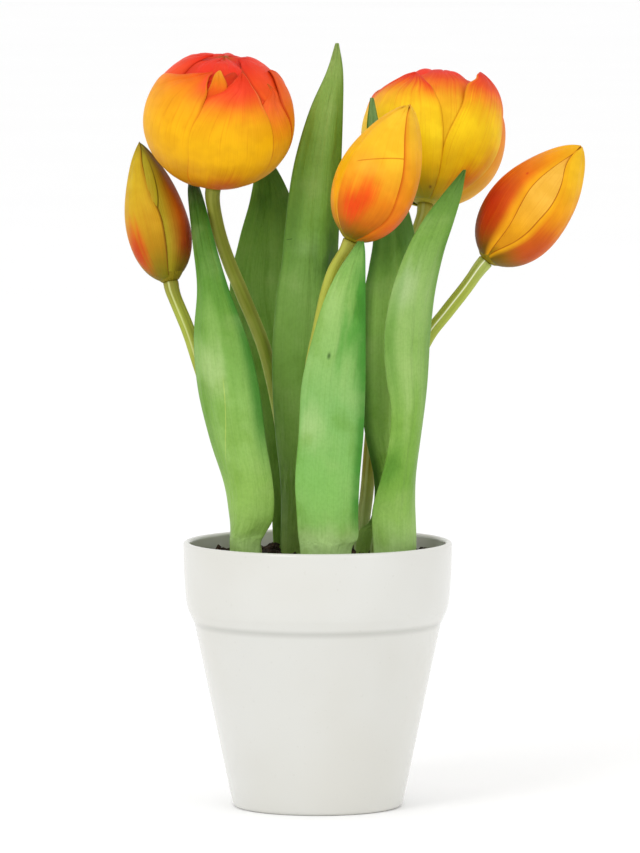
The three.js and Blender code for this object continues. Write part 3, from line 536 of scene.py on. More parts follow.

# How each kind of petal and each leaf is coloured; places run across from 0 at the left edge to 1
# at the right one, and along from 0 at the foot to 1 at the tip.
# belts: (place along, colour). ragged: how far the belts run into streaks; LEAF_RAGGED if not given.
# margins: (side, width, depth, place along where it starts, colour). A thin margin a little darker than its
# petal is painted shade where the petal's edge meets its neighbour.
# spots: soft patches, as (across, along, width, length, depth, colour).
# creases: lines across, whose place along is a curve (three terms), then start, end, width, colour; each is
# painted shade in a fold.
# ridges: lines along, whose place across is a curve (three terms), then start, end, width, colour; a pale
# one is a painted highlight along a fold.
PETAL_LOOKS = {
    "gold_left": {
        "belts": [(0, (176, 112, 10)), (0.1, (184, 116, 10)), (0.25, (210, 142, 8)),
                  (0.42, (234, 170, 12)), (0.58, (247, 182, 16)), (0.77, (247, 162, 28)),
                  (0.87, (245, 128, 34)), (0.95, (242, 92, 36)), (1, FLAME)],
        "ragged": 0.09,
        "margins": [(1, 0.24, 0.85, 0.74, (247, 78, 70)), (1, 0.035, 0.85, 0, (222, 118, 8))],
        "spots": [(0.4, 0.26, 0.16, 0.17, 0.7, (218, 106, 24)),
                  (0.4, 0.1, 0.3, 0.12, 0.5, (196, 92, 22))],
    },
    "gold": {
        "belts": [(0, (176, 112, 10)), (0.08, (190, 108, 12)), (0.17, (204, 128, 8)),
                  (0.28, (226, 156, 8)), (0.42, (244, 180, 12)), (0.54, GOLD), (0.66, (247, 176, 22)),
                  (0.74, (247, 146, 34)), (0.8, (247, 106, 48)), (0.86, (245, 70, 52)),
                  (0.92, (240, 58, 42)), (1, (234, 60, 34))],
        "ragged": 0.12,
        "margins": [(0, 0.16, 0.7, 0.62, (236, 70, 26)), (0, 0.03, 0.4, 0, (222, 130, 14)),
                    (1, 0.07, 0.6, 0.66, (250, 130, 104)), (1, 0.025, 0.5, 0, (232, 140, 30))],
        "spots": [(0.55, 0.85, 0.4, 0.1, 0.5, (250, 74, 76)),
                  (0.6, 0.13, 0.24, 0.19, 0.9, (206, 92, 16))],
    },
    "gold_side": {
        "belts": [(0, OCHRE), (0.15, (218, 144, 12)), (0.35, DEEP_GOLD), (0.58, (244, 174, 20)),
                  (0.72, (246, 140, 42)), (0.84, (247, 106, 62)), (0.94, (240, 84, 40)),
                  (1, (176, 96, 24))],
        "ragged": 0.15,
        # Its dark red right margin near the tip is painted shade along that edge.
        "margins": [(1, 0.14, 0.9, 0.6, (206, 52, 16)), (0, 0.08, 0.5, 0.5, (248, 112, 70))],
    },
    "gold_right": {
        "belts": [(0, OCHRE), (0.2, DEEP_GOLD), (0.5, (240, 172, 18)), (0.66, (245, 142, 30)),
                  (0.8, (244, 108, 40)), (1, (242, 84, 44))],
        "ragged": 0.18,
        "margins": [(0, 0.06, 0.9, 0.3, (212, 66, 16)), (1, 0.05, 0.3, 0, AMBER)],
    },
    "scarlet": {
        "belts": [(0, (244, 150, 30)), (0.33, (244, 104, 34)), (0.58, (242, 78, 40)),
                  (0.82, (238, 52, 40)), (1, SCARLET)],
        "ragged": 0.18,
        "margins": [(0, 0.05, 0.6, 0, CRIMSON), (1, 0.05, 0.6, 0, CRIMSON)],
        "spots": [(0.5, 0.7, 0.3, 0.2, 0.5, (248, 66, 60))],
    },
    "scarlet_pink": {
        "belts": [(0, (244, 130, 40)), (0.3, (245, 90, 56)), (0.6, (246, 68, 62)), (0.85, (242, 58, 50)),
                  (1, SCARLET)],
        "ragged": 0.18,
        "margins": [(0, 0.04, 0.6, 0, (246, 140, 70)), (1, 0.05, 0.7, 0, (246, 150, 90))],
        "spots": [(0.4, 0.5, 0.12, 0.5, 0.6, (214, 44, 34))],
    },
    "scarlet_fold": {
        "belts": [(0, ORANGE), (0.4, (240, 84, 30)), (0.7, (226, 46, 30)), (1, (196, 60, 22))],
        "ragged": 0.15,
        "margins": [(0, 0.05, 0.7, 0, (248, 140, 80)), (1, 0.2, 0.9, 0.5, (138, 92, 22))],
    },
    "orange_lobe": {
        "belts": [(0, (208, 52, 20)), (0.55, (218, 56, 22)), (0.72, (236, 92, 22)),
                  (0.86, (244, 138, 30)), (1, (250, 172, 76))],
        "ragged": 0.15,
        # Its dark red right margin is painted shade in the fold at its right.
        "margins": [(0, 0.1, 0.7, 0.5, (249, 168, 86)), (1, 0.14, 0.8, 0, (206, 62, 16))],
    },
    "lemon": {
        "belts": [(0, (150, 146, 34)), (0.08, (168, 150, 24)), (0.18, (202, 164, 12)),
                  (0.32, (246, 200, 20)), (0.5, (254, 218, 44)), (0.68, (254, 206, 42)),
                  (0.79, (250, 174, 38)), (0.87, (244, 112, 34)), (0.93, (234, 60, 32)),
                  (1, (222, 40, 30))],
        "ragged": 0.18,
        "margins": [(0, 0.26, 0.8, 0.68, (238, 68, 34)), (1, 0.24, 0.9, 0.7, (232, 56, 30)),
                    (1, 0.028, 0.7, 0, (226, 152, 14))],
        "spots": [(0.9, 0.134, 0.03, 0.02, 0.9, (120, 78, 14))],
    },
    "lemon_right": {
        "belts": [(0, (156, 150, 36)), (0.08, (206, 170, 20)), (0.22, (238, 190, 16)),
                  (0.4, (248, 204, 22)), (0.54, (252, 210, 30)), (0.63, (248, 186, 28)),
                  (0.71, (246, 142, 36)), (0.79, (241, 84, 34)), (0.9, (230, 48, 32)),
                  (1, (224, 42, 32))],
        "ragged": 0.21,
        "margins": [(0, 0.08, 0.4, 0.4, (248, 168, 50)), (1, 0.2, 0.75, 0.5, (243, 100, 38)),
                    (0, 0.025, 0.7, 0, (232, 160, 20))],
        "spots": [(0.62, 0.2, 0.34, 0.13, 0.9, (220, 100, 22)),
                  (0.8, 0.3, 0.16, 0.2, 0.5, (236, 140, 26))],
    },
    "lemon_side": {
        "belts": [(0, (206, 160, 24)), (0.2, (238, 180, 16)), (0.5, (246, 166, 26)),
                  (0.75, (244, 132, 38)), (1, FLAME)],
        "ragged": 0.21,
        "margins": [(0, 0.04, 0.6, 0, (232, 120, 30))],
    },
    "lemon_middle": {
        "belts": [(0, (226, 178, 20)), (0.37, (247, 192, 44)), (0.5, (247, 170, 50)),
                  (0.6, (246, 128, 44)), (0.7, (239, 80, 36)), (0.8, (232, 46, 34)), (1, (216, 34, 30))],
        "ragged": 0.15,
        "margins": [(0, 0.08, 0.6, 0.3, (226, 96, 30)), (1, 0.05, 0.6, 0, (240, 130, 40))],
    },
    "lemon_inner": {
        "belts": [(0, (246, 190, 34)), (0.4, (246, 164, 44)), (0.52, (245, 126, 40)),
                  (0.64, (239, 70, 32)), (0.8, (234, 46, 30)), (1, SCARLET)],
        "ragged": 0.18,
        "margins": [(0, 0.05, 0.6, 0, (240, 130, 40)), (1, 0.05, 0.6, 0, (240, 130, 40))],
    },
    "moss_blush": {
        "belts": [(0, (120, 116, 20)), (0.1, (150, 124, 26)), (0.22, (184, 136, 30)),
                  (0.42, (208, 158, 44)), (0.68, (214, 176, 50)), (0.86, (208, 176, 50)),
                  (0.96, (180, 158, 52)), (1, (112, 106, 48))],
        "ragged": 0.12,
        "margins": [(1, 0.14, 0.55, 0.4, (170, 116, 24)), (1, 0.045, 0.9, 0, (134, 88, 16))],
        "spots": [(0.44, 0.25, 0.27, 0.2, 0.85, (224, 78, 32)),
                  (0.46, 0.2, 0.16, 0.12, 0.6, (196, 52, 22)),
                  (0.3, 0.56, 0.2, 0.3, 0.4, (222, 168, 60))],
    },
    "moss_rust": {
        "belts": [(0, (110, 104, 18)), (0.08, (134, 104, 20)), (0.2, (166, 64, 16)),
                  (0.42, (192, 82, 20)), (0.62, (182, 88, 20)), (0.78, (136, 94, 24)), (1, (92, 88, 34))],
        "ragged": 0.15,
        "margins": [(0, 0.4, 0.95, 0, (174, 160, 54))],
        "spots": [(0.55, 0.28, 0.12, 0.16, 0.7, (160, 44, 14)),
                  (0.62, 0.4, 0.08, 0.4, 0.5, (120, 70, 20))],
    },
    "moss": {
        "belts": [(0, OLIVE), (0.3, (160, 150, 40)), (0.7, (184, 170, 60)), (0.9, (178, 168, 58)),
                  (1, (116, 108, 42))],
        "ragged": 0.15,
        "margins": [(0, 0.1, 0.6, 0, (166, 108, 20)), (1, 0.06, 0.95, 0, (100, 80, 20))],
        "spots": [(0.72, 0.5, 0.2, 0.2, 0.6, (196, 140, 34))],
    },
    "apricot_blush": {
        "belts": [(0, (112, 104, 12)), (0.06, (158, 100, 8)), (0.15, (202, 104, 12)),
                  (0.32, (242, 138, 26)), (0.48, (250, 174, 54)), (0.66, (254, 198, 62)),
                  (0.88, (254, 198, 68)), (1, (246, 188, 66))],
        "ragged": 0.12,
        # Its wide and thin darker right margins are painted shade along the fold of its right edge.
        "margins": [(0, 0.07, 0.7, 0, (248, 186, 34)), (1, 0.15, 0.75, 0, (222, 114, 10)),
                    (1, 0.03, 0.9, 0, (210, 98, 8))],
        "spots": [(0.31, 0.23, 0.22, 0.13, 0.9, (236, 68, 20)),
                  (0.47, 0.34, 0.14, 0.13, 0.85, (238, 66, 20)),
                  (0.42, 0.42, 0.2, 0.12, 0.4, (242, 110, 26)),
                  # The pale patch just under the crease is a painted highlight.
                  (0.35, 0.53, 0.26, 0.08, 0.4, (249, 180, 84))],
        "creases": [(0.465, 0.351, -0.154, 0.14, 0.9, 0.007, (222, 126, 14))],
    },
    "apricot": {
        "belts": [(0, (130, 116, 14)), (0.06, (206, 110, 14)), (0.18, (238, 106, 20)),
                  (0.36, (243, 140, 30)), (0.6, (247, 170, 44)), (0.8, (248, 188, 56)),
                  (1, (242, 190, 76))],
        "ragged": 0.12,
        # Its wide and thin darker left margins are painted shade in the groove where the neighbouring
        # petal's edge meets it.
        "margins": [(0, 0.16, 0.5, 0, (240, 138, 26)), (0, 0.045, 0.85, 0, (216, 100, 6))],
    },
    "apricot_band": {
        "belts": [(0, (120, 112, 14)), (0.1, (206, 132, 14)), (0.25, (245, 164, 18)),
                  (0.5, (248, 188, 30)), (0.8, (247, 182, 40)), (1, (240, 180, 56))],
        "ragged": 0.12,
    },
    "ember": {
        "belts": [(0, (110, 96, 14)), (0.06, (130, 84, 12)), (0.2, (198, 82, 8)), (0.45, (222, 92, 6)),
                  (0.65, (232, 118, 10)), (0.82, (242, 154, 18)), (1, (246, 188, 42))],
        "ragged": 0.12,
        "margins": [(1, 0.17, 0.9, 0, (246, 172, 32)), (0, 0.3, 0.6, 0.6, (246, 170, 30)),
                    (1, 0.025, 0.95, 0, (176, 86, 6))],
        "spots": [(0.6, 0.32, 0.26, 0.26, 0.95, (188, 40, 4)),
                  (0.42, 0.14, 0.2, 0.18, 0.85, (116, 60, 12)),
                  (0.8, 0.62, 0.02, 0.012, 0.9, (210, 60, 6))],
    },
    "ember_right": {
        "belts": [(0, (116, 98, 14)), (0.08, (146, 98, 14)), (0.2, (196, 86, 16)), (0.36, (226, 112, 20)),
                  (0.55, (244, 160, 24)), (0.8, (248, 190, 40)), (1, (244, 190, 56))],
        "ragged": 0.15,
        "margins": [(0, 0.12, 0.85, 0, (246, 176, 30)), (0, 0.025, 0.95, 0, (178, 88, 8))],
        "spots": [(0.34, 0.27, 0.24, 0.17, 0.8, (202, 80, 32)),
                  (0.56, 0.5, 0.14, 0.3, 0.7, (226, 136, 46))],
    },
    "peach": {
        "belts": [(0, OLIVE), (0.12, (222, 146, 24)), (0.3, (238, 166, 38)), (0.6, (247, 186, 98)),
                  (0.85, (250, 192, 116)), (1, (246, 160, 80))],
        "ragged": 0.09,
        "margins": [(0, 0.12, 0.8, 0, (226, 122, 14)), (1, 0.14, 0.9, 0, (228, 112, 14))],
    },
}

# A stem's belts run from the bulb to the flower; lines: (place across, width, depth, colour). The pale
# lines are painted highlights where the sheen lies, and the darker ones painted shade on a stem's side.
STEM_LOOKS = {
    "a": {"belts": [(0, CREAM_GREEN), (0.4, (144, 158, 54)), (0.8, (142, 150, 44)), (1, (126, 132, 36))],
          "lines": [(0.44, 0.06, 0.35, (176, 176, 80)), (0.62, 0.08, 0.5, (112, 116, 30))]},
    "b": {"belts": [(0, CREAM_GREEN), (0.3, (146, 134, 34)), (0.8, (170, 184, 88)), (1, (164, 162, 56))],
          "lines": [(0.45, 0.05, 0.3, (206, 216, 150))]},
    "c": {"belts": [(0, CREAM_GREEN), (0.5, (166, 178, 70)), (0.9, (160, 170, 58)), (1, (136, 130, 40))],
          "lines": [(0.46, 0.03, 0.6, (214, 220, 150)), (0.58, 0.03, 0.5, (130, 140, 44))]},
    "d": {"belts": [(0, CREAM_GREEN), (0.5, (164, 170, 52)), (0.9, (166, 170, 54)), (1, (140, 130, 34))],
          "lines": [(0.4, 0.08, 0.4, (190, 196, 84)), (0.6, 0.06, 0.4, (130, 134, 34))]},
    "e": {"belts": [(0, CREAM_GREEN), (0.4, (170, 186, 74)), (0.9, (164, 176, 66)), (1, (176, 190, 104))],
          "lines": [(0.47, 0.022, 0.95, (240, 244, 206)), (0.4, 0.04, 0.5, (128, 140, 40)),
                    (0.56, 0.05, 0.4, (140, 152, 48))]},
}

# What the petals' and leaves' colours are multiplied by.
PIGMENT = {"deep": (235, 232, 140), "clear": (246, 248, 172), "leaf": (236, 238, 224)}

# Markings: the values of their noise, or of the distance from them, where they start and where they
# are full, then their depth and their colour.
MARKS = {
    "petal_vein": (0.54, 0.7, 0.4, (238, 210, 180)),
    "leaf_wax": (0.5, 0.75, 0.125, (206, 224, 160)),
    "leaf_shade": (0.5, 0.3, 0.5, (206, 220, 150)),
    "leaf_vein": (0.5, 0.66, 0.35, (222, 234, 206)),
    "leaf_speck": (0.42, 0.62, 0.3, (228, 234, 218)),
    "stem_fibre": (0.45, 0.65, 0.5, (214, 214, 160)),
    "stem_cloud": (0.45, 0.7, 0.3, (186, 196, 90)),
    # Painted shade along the crease under the pot's collar:
    "glaze_crease_shade": (POT["crease_shade_width"] * MM, 0.0, 0.4, (160, 161, 154)),
    "glaze_speck": (0.7, 0.78, 0.12, (176, 172, 160)),
    "soil_grain": (0.66, 0.74, 0.5, (130, 104, 74)),
}

# Grain: streaks as their number across and along, scales of noise to the metre, the shares of two
# noises in what they make together, the least roughness and its span, and the height of the relief in
# metres.
PETAL_GRAIN = {"broad": (26, 1.5), "fine": (95, 2.2), "drift": 14, "streak_shares": (0.6, 0.4),
               "mottle": 130, "mottle_span": (0.35, 0.7), "roughness": (0.42, 0.2),
               "relief_shares": (0.6, 0.5), "height": 0.00018}
HEART_GRAIN = {"folds": (40, 4), "stray": 0.12, "height": 0.0006}
LEAF_GRAIN = {"veins": (80, 3), "folds": (5, 9), "cloud": 70, "speck": 900, "roughness": (0.36, 0.25),
              "relief_shares": (0.25, 2.4), "height": 0.0006}
STEM_GRAIN = {"fibres": (60, 5), "cloud": 60, "roughness": (0.4, 0.2), "height": 0.0002}
GLAZE_GRAIN = {"cloud": 18, "speck": 700}
SOIL_GRAIN = {"lump": 260, "grain": 1500, "height": 0.001}
TUNIC_GRAIN = {"fibres": (700, 700, 60), "height": 0.0004}

HEART_BELTS = {
    "scarlet": [(0, (172, 162, 50)), (0.2, (190, 160, 40)), (0.35, OCHRE), (0.55, ORANGE),
                (0.72, (236, 62, 34)), (0.95, (222, 46, 28)), (1, (130, 96, 26))],
    "amber": [(0, OLIVE), (0.4, OCHRE), (0.8, AMBER), (1, (196, 130, 30))],
    "moss": [(0, OLIVE), (0.6, (150, 110, 24)), (1, (104, 92, 30))],
}
FLOWER_HEART = {"a": "scarlet", "b": "scarlet", "c": "moss", "d": "amber", "e": "amber"}

LEAF_LOOKS = {
    "leaf_front_left": {
        # The belts darken towards the tip: the bloom's shadow, painted on.
        "belts": [(0, CREAM_GREEN), (0.2, (160, 200, 104)), (0.36, (152, 194, 94)),
                  (0.48, (154, 196, 106)), (0.58, (138, 184, 92)), (0.66, (116, 164, 66)),
                  (0.74, (98, 150, 50)), (0.84, (78, 124, 38)), (0.93, (56, 92, 28)), (1, (50, 84, 26))],
        # Its dark right margin is painted shade where the blade turns away from the light.
        "margins": [(1, 0.2, 0.95, 0.34, (66, 130, 38)), (0, 0.05, 0.5, 0, (92, 140, 44))],
        "spots": [(0.3, 0.58, 0.34, 0.06, 0.9, (176, 206, 136)),
                  (0.12, 0.5, 0.24, 0.11, 0.9, (112, 160, 50)),
                  (0.42, 0.66, 0.2, 0.05, 0.6, (150, 190, 104))],
        # The pale line along the fold is a painted highlight.
        "ridges": [(-2.52, 10.78, -9.5, 0.4, 0.58, 0.012, (196, 218, 122))],
    },
    "leaf_centre_tall": {
        "belts": [(0, (150, 178, 92)), (0.2, (134, 170, 80)), (0.36, (128, 170, 78)),
                  (0.48, (130, 172, 84)), (0.56, (118, 162, 72)), (0.62, (128, 174, 80)),
                  (0.7, (134, 180, 80)), (0.8, (134, 174, 76)), (0.88, (142, 178, 84)),
                  (1, (158, 182, 104))],
        # Its darker right margin is painted shade where the blade turns away from the light.
        "margins": [(0, 0.06, 0.5, 0, (84, 128, 40)), (1, 0.1, 0.5, 0.3, (84, 130, 36))],
        # The dark patches at across 0.85 and 0.9 are painted shade on the blade's right side.
        "spots": [(0.34, 0.6, 0.26, 0.035, 0.7, (140, 180, 102)),
                  (0.85, 0.55, 0.28, 0.12, 0.9, (60, 102, 20)),
                  (0.5, 0.8, 0.2, 0.12, 0.5, (152, 186, 98)), (0.9, 0.78, 0.2, 0.2, 0.6, (96, 136, 40)),
                  (0.15, 0.66, 0.2, 0.1, 0.5, (84, 128, 36))],
        # The short dark line is painted shade.
        "creases": [(0.622, 0.02, 0.0, 0.03, 0.16, 0.002, (62, 100, 30))],
    },
    "leaf_back_left": {
        # The darkening towards the top is painted shade, as the blade lies behind the others.
        "belts": [(0, (124, 158, 70)), (0.44, (138, 180, 88)), (0.55, (134, 178, 84)),
                  (0.67, (118, 162, 66)), (0.8, (80, 120, 34)), (1, (68, 106, 28))],
        # Its dark right margin is painted shade as well.
        "margins": [(0, 0.2, 0.4, 0.3, (126, 168, 78)), (1, 0.3, 0.5, 0.5, (70, 110, 26))],
        "spots": [(0.15, 0.5, 0.25, 0.07, 0.6, (150, 184, 112))],
    },
    "leaf_front_centre": {
        "belts": [(0, CREAM_GREEN), (0.19, (178, 214, 138)), (0.26, (146, 198, 104)),
                  (0.36, (136, 192, 100)), (0.5, (138, 190, 108)), (0.6, (152, 196, 114)),
                  (0.75, (156, 196, 108)), (0.88, (120, 174, 76)), (1, (84, 138, 48))],
        "margins": [(1, 0.2, 0.95, 0.14, (66, 142, 40)), (0, 0.04, 0.5, 0, (122, 174, 72))],
        "spots": [(0.84, 0.72, 0.34, 0.15, 0.95, (72, 148, 40)),
                  (0.72, 0.62, 0.2, 0.07, 0.8, (84, 160, 54)),
                  (0.2, 0.47, 0.24, 0.045, 0.7, (182, 214, 146)),
                  (0.25, 0.7, 0.2, 0.08, 0.5, (172, 208, 130)),
                  (0.37, 0.59, 0.035, 0.007, 0.9, (72, 108, 46))],
    },
    "leaf_back_right": {
        # The darker upper belts are painted shade.
        "belts": [(0, (158, 190, 98)), (0.27, (148, 190, 88)), (0.4, (156, 202, 100)),
                  (0.52, (166, 212, 110)), (0.62, (128, 176, 76)), (0.72, (88, 136, 46)),
                  (0.82, (78, 120, 48)), (1, (130, 170, 106))],
        # Its dark margins are painted shade on the rounded blade.
        "margins": [(0, 0.2, 0.85, 0.1, (64, 110, 26)), (1, 0.18, 0.4, 0.2, (84, 128, 40))],
        # The pale patch along its middle is a painted highlight.
        "spots": [(0.46, 0.42, 0.16, 0.25, 0.8, (164, 206, 106))],
    },
    "leaf_front_right": {
        "belts": [(0, CREAM_GREEN), (0.16, (150, 192, 96)), (0.3, (124, 172, 66)), (0.42, (138, 182, 82)),
                  (0.54, (148, 188, 100)), (0.7, (156, 192, 112)), (0.82, (124, 168, 70)),
                  (1, (84, 126, 48))],
        # Its darker margins are painted shade on the rounded blade.
        "margins": [(0, 0.12, 0.6, 0.76, (76, 132, 42)), (1, 0.26, 0.65, 0.3, (104, 152, 58))],
        # The darker patches near its left margin are painted shade as well.
        "spots": [(0.22, 0.7, 0.24, 0.05, 0.6, (182, 206, 156)),
                  (0.15, 0.32, 0.22, 0.05, 0.6, (90, 148, 44)),
                  (0.35, 0.5, 0.12, 0.1, 0.6, (176, 208, 130)), (0.8, 0.6, 0.2, 0.1, 0.4, (134, 178, 80)),
                  (0.1, 0.6, 0.1, 0.14, 0.6, (108, 160, 60))],
    },
}


def lay_colours(skin, look, across, along, streak):
    """The belts, spots, creases, ridges and margins of a petal or a leaf, some of which are painted shade
    and painted highlight.
    """
    belts = [(place, srgb(*colour)) for place, colour in look["belts"]]
    ragged = look.get("ragged", LEAF_RAGGED)
    colour = skin.ramp(skin.math("MULTIPLY_ADD", streak, ragged, along), belts)
    for spot in look.get("spots", []):
        colour = skin.add_spot(colour, across, along, streak, spot)
    for crease in look.get("creases", []):
        colour = skin.add_line(colour, across, along, crease)
    for ridge in look.get("ridges", []):
        colour = skin.add_line(colour, along, across, ridge)
    for side, width, depth, start, margin_colour in look.get("margins", []):
        near = skin.amount(skin.distance(across, side), width, width * MARGIN["core"], depth)
        if start > 0:
            near = skin.math("MULTIPLY", near, skin.rise(along, start, start + MARGIN["fade_in"]))
        colour = skin.mix(near, colour, srgb(*margin_colour))
    return colour


def petal_skin(name):
    """A petal's colours, with fine streaks, veins and a faint mottle."""
    skin = Skin(f"petal_{name}", Specular_IOR_Level=0.12)
    across, along = skin.surface_place()
    place = skin.object_place()
    x, _, z = skin.split(place)
    shift = skin.math("MULTIPLY", skin.math("ADD", x, z), PETAL_GRAIN["drift"])
    broad = skin.streaks(across, along, *PETAL_GRAIN["broad"], shift)
    fine = skin.streaks(across, along, *PETAL_GRAIN["fine"], shift)
    streak = skin.math("SUBTRACT", skin.blend(broad, fine, PETAL_GRAIN["streak_shares"]), 0.5)
    colour = lay_colours(skin, PETAL_LOOKS[name], across, along, streak)
    colour = skin.stain(colour, fine, MARKS["petal_vein"])
    mottle = skin.noise(place, scale=PETAL_GRAIN["mottle"], detail=2)
    clear = skin.rise(mottle, *PETAL_GRAIN["mottle_span"])
    pigment = skin.mix(clear, srgb(*PIGMENT["deep"]), srgb(*PIGMENT["clear"]))
    skin.paint(skin.dye(colour, pigment))
    skin.gloss(fine, *PETAL_GRAIN["roughness"])
    skin.emboss(skin.blend(broad, fine, PETAL_GRAIN["relief_shares"]), PETAL_GRAIN["height"])
    return skin.material


def heart_skin(name):
    """The closed heart of a flower, with folds where the petals meet."""
    skin = Skin(f"heart_{name}", Roughness=0.5, Specular_IOR_Level=0.12)
    across, along = skin.surface_place()
    folds = skin.streaks(across, along, *HEART_GRAIN["folds"], detail=3)
    belts = [(level, srgb(*colour)) for level, colour in HEART_BELTS[name]]
    stray = skin.math("SUBTRACT", folds, 0.5)
    skin.paint(skin.ramp(skin.math("MULTIPLY_ADD", stray, HEART_GRAIN["stray"], along), belts))
    skin.emboss(folds, HEART_GRAIN["height"])
    return skin.material


def leaf_skin(name):
    """A leaf's greens, with faint veins that run from foot to tip and a waxy bloom."""
    skin = Skin(f"skin_{name}", Specular_IOR_Level=0.22)
    across, along = skin.surface_place()
    place = skin.object_place()
    veins = skin.streaks(across, along, *LEAF_GRAIN["veins"])
    folds = skin.streaks(across, along, *LEAF_GRAIN["folds"], shift=3.0, detail=3)
    cloud = skin.noise(place, scale=LEAF_GRAIN["cloud"], detail=4)
    specks = skin.noise(place, scale=LEAF_GRAIN["speck"], detail=3)
    colour = lay_colours(skin, LEAF_LOOKS[name], across, along, skin.math("SUBTRACT", folds, 0.5))
    colour = skin.coat(colour, cloud, MARKS["leaf_wax"])
    for value, mark in ((cloud, "leaf_shade"), (veins, "leaf_vein"), (specks, "leaf_speck")):
        colour = skin.stain(colour, value, MARKS[mark])
    skin.paint(skin.dye(colour, srgb(*PIGMENT["leaf"])))
    skin.gloss(cloud, *LEAF_GRAIN["roughness"])
    skin.emboss(skin.blend(veins, folds, LEAF_GRAIN["relief_shares"]), LEAF_GRAIN["height"])
    return skin.material


def stem_skin(key):
    """A stem's green, with fine fibres, painted shade stripes on its side and a painted highlight line
    where its sheen lies.
    """
    look = STEM_LOOKS[key]
    skin = Skin(f"stem_{key}", Specular_IOR_Level=0.25)
    across, along = skin.surface_place()
    fibre = skin.streaks(across, along, *STEM_GRAIN["fibres"])
    cloud = skin.noise(skin.object_place(), scale=STEM_GRAIN["cloud"], detail=2)
    colour = skin.ramp(along, [(place, srgb(*green)) for place, green in look["belts"]])
    colour = skin.stain(colour, fibre, MARKS["stem_fibre"])
    colour = skin.coat(colour, cloud, MARKS["stem_cloud"])
    # Painted highlight and shade: pale lines where the sheen lies, darker lines on the shaded side.
    for place, width, depth, line in look["lines"]:
        near = skin.amount(skin.distance(across, place), width, width * LINE["core"], depth)
        colour = skin.mix(near, colour, srgb(*line))
    skin.paint(colour)
    skin.gloss(fibre, *STEM_GRAIN["roughness"])
    skin.emboss(fibre, STEM_GRAIN["height"])
    return skin.material


def glaze_skin():
    """Warm white glaze, with painted shade along the crease under the collar."""
    skin = Skin("pot_glaze", Roughness=0.22, Coat_Weight=0.3, Coat_Roughness=0.1)
    place = skin.object_place()
    _, _, z = skin.split(place)
    cloud = skin.noise(place, scale=GLAZE_GRAIN["cloud"], detail=2)
    specks = skin.noise(place, scale=GLAZE_GRAIN["speck"], detail=1)
    colour = skin.mix(skin.rise(cloud, 0.3, 0.7), srgb(213, 213, 208), srgb(209, 208, 201))
    # Painted shade: the glaze is greyer near the crease under the collar.
    crease = skin.distance(z, POT["crease_level"] * MM)
    colour = skin.coat(colour, crease, MARKS["glaze_crease_shade"])
    skin.paint(skin.coat(colour, specks, MARKS["glaze_speck"]))
    return skin.material


def soil_skin():
    """Moist dark potting soil with brown fibre and lighter grains."""
    skin = Skin("potting_soil", Roughness=0.92, Specular_IOR_Level=0.2)
    place = skin.object_place()
    lump = skin.noise(place, scale=SOIL_GRAIN["lump"], detail=4, roughness=0.65)
    grain = skin.noise(place, scale=SOIL_GRAIN["grain"], detail=2)
    colour = skin.ramp(lump, [(0.3, srgb(20, 15, 11)), (0.55, srgb(46, 34, 24)), (0.75, srgb(86, 64, 42))])
    skin.paint(skin.coat(colour, grain, MARKS["soil_grain"]))
    skin.emboss(skin.math("MULTIPLY_ADD", grain, 0.4, lump), SOIL_GRAIN["height"])
    return skin.material


def tunic_skin():
    """A bulb's papery brown coat, with fibres that run up to its nose."""
    skin = Skin("bulb_tunic", Roughness=0.6, Specular_IOR_Level=0.3)
    drawn = zip(skin.split(skin.object_place()), TUNIC_GRAIN["fibres"])
    fibre = skin.noise(skin.join(*[skin.math("MULTIPLY", place, scale) for place, scale in drawn]))
    browns = [(0.3, srgb(92, 52, 26)), (0.55, srgb(140, 88, 48)), (0.75, srgb(186, 130, 78))]
    skin.paint(skin.ramp(fibre, browns))
    skin.emboss(fibre, TUNIC_GRAIN["height"])
    return skin.material


def floor_skin():
    """A plain white studio floor."""
    skin = Skin("studio_floor", Roughness=0.9, Specular_IOR_Level=0.1)
    grain = skin.noise(skin.object_place(), scale=3, detail=2)
    skin.paint(skin.mix(grain, srgb(255, 255, 255), srgb(253, 253, 253)))
    return skin.material


# ---------------------------------------------------------------- surfaces


def hermite(start, end, slope_in, slope_out, f):
    """A smooth curve from start to end with the given slopes, at a share f of its way."""
    rise = end - start
    square = 3 * rise - 2 * slope_in - slope_out
    cube = slope_in + slope_out - 2 * rise
    return start + f * (slope_in + f * (square + f * cube))


def smooth_at(values, share):
    """A smooth value between equally spaced lists of numbers, at a share from 0 to 1 of the way."""
    last = len(values) - 1
    place = min(max(share, 0), 1) * last
    i = min(int(place), last - 1)

    def blend(k):
        b, c = values[i][k], values[i + 1][k]
        a = values[i - 1][k] if i > 0 else 2 * b - c
        d = values[i + 2][k] if i + 2 <= last else 2 * c - b
        return hermite(b, c, (c - a) / 2, (d - b) / 2, place - i)

    return [blend(k) for k in range(len(values[i]))]


def new_mesh():
    """An empty mesh with a map of each surface and room for the thickness of its flesh."""
    bm = bmesh.new()
    bm.loops.layers.uv.new("surface")
    bm.verts.layers.deform.new()
    return bm


def lay_grid(bm, surface, rows, columns, crowding=1.0, material_index=0):
    """Lays a grid on surface(u, v), with u from 0 at the foot to 1 at the tip and v from -1 to 1.

    Its faces point away from the plant where v runs from left to right."""
    uv_layer = bm.loops.layers.uv["surface"]
    made = bmesh.ops.create_grid(bm, x_segments=columns, y_segments=rows, size=1)
    place = {}
    for vert in made["verts"]:
        v = vert.co.x
        u = 1 - (1 - (vert.co.y + 1) / 2) ** crowding
        place[vert] = (u, v)
        vert.co = Vector(surface(u, v)) * MM
    for vert in made["verts"]:
        for loop in vert.link_loops:
            u, v = place[vert]
            loop[uv_layer].uv = ((v + 1) / 2, u)
            loop.face.material_index = material_index
            loop.face.smooth = True
    return place


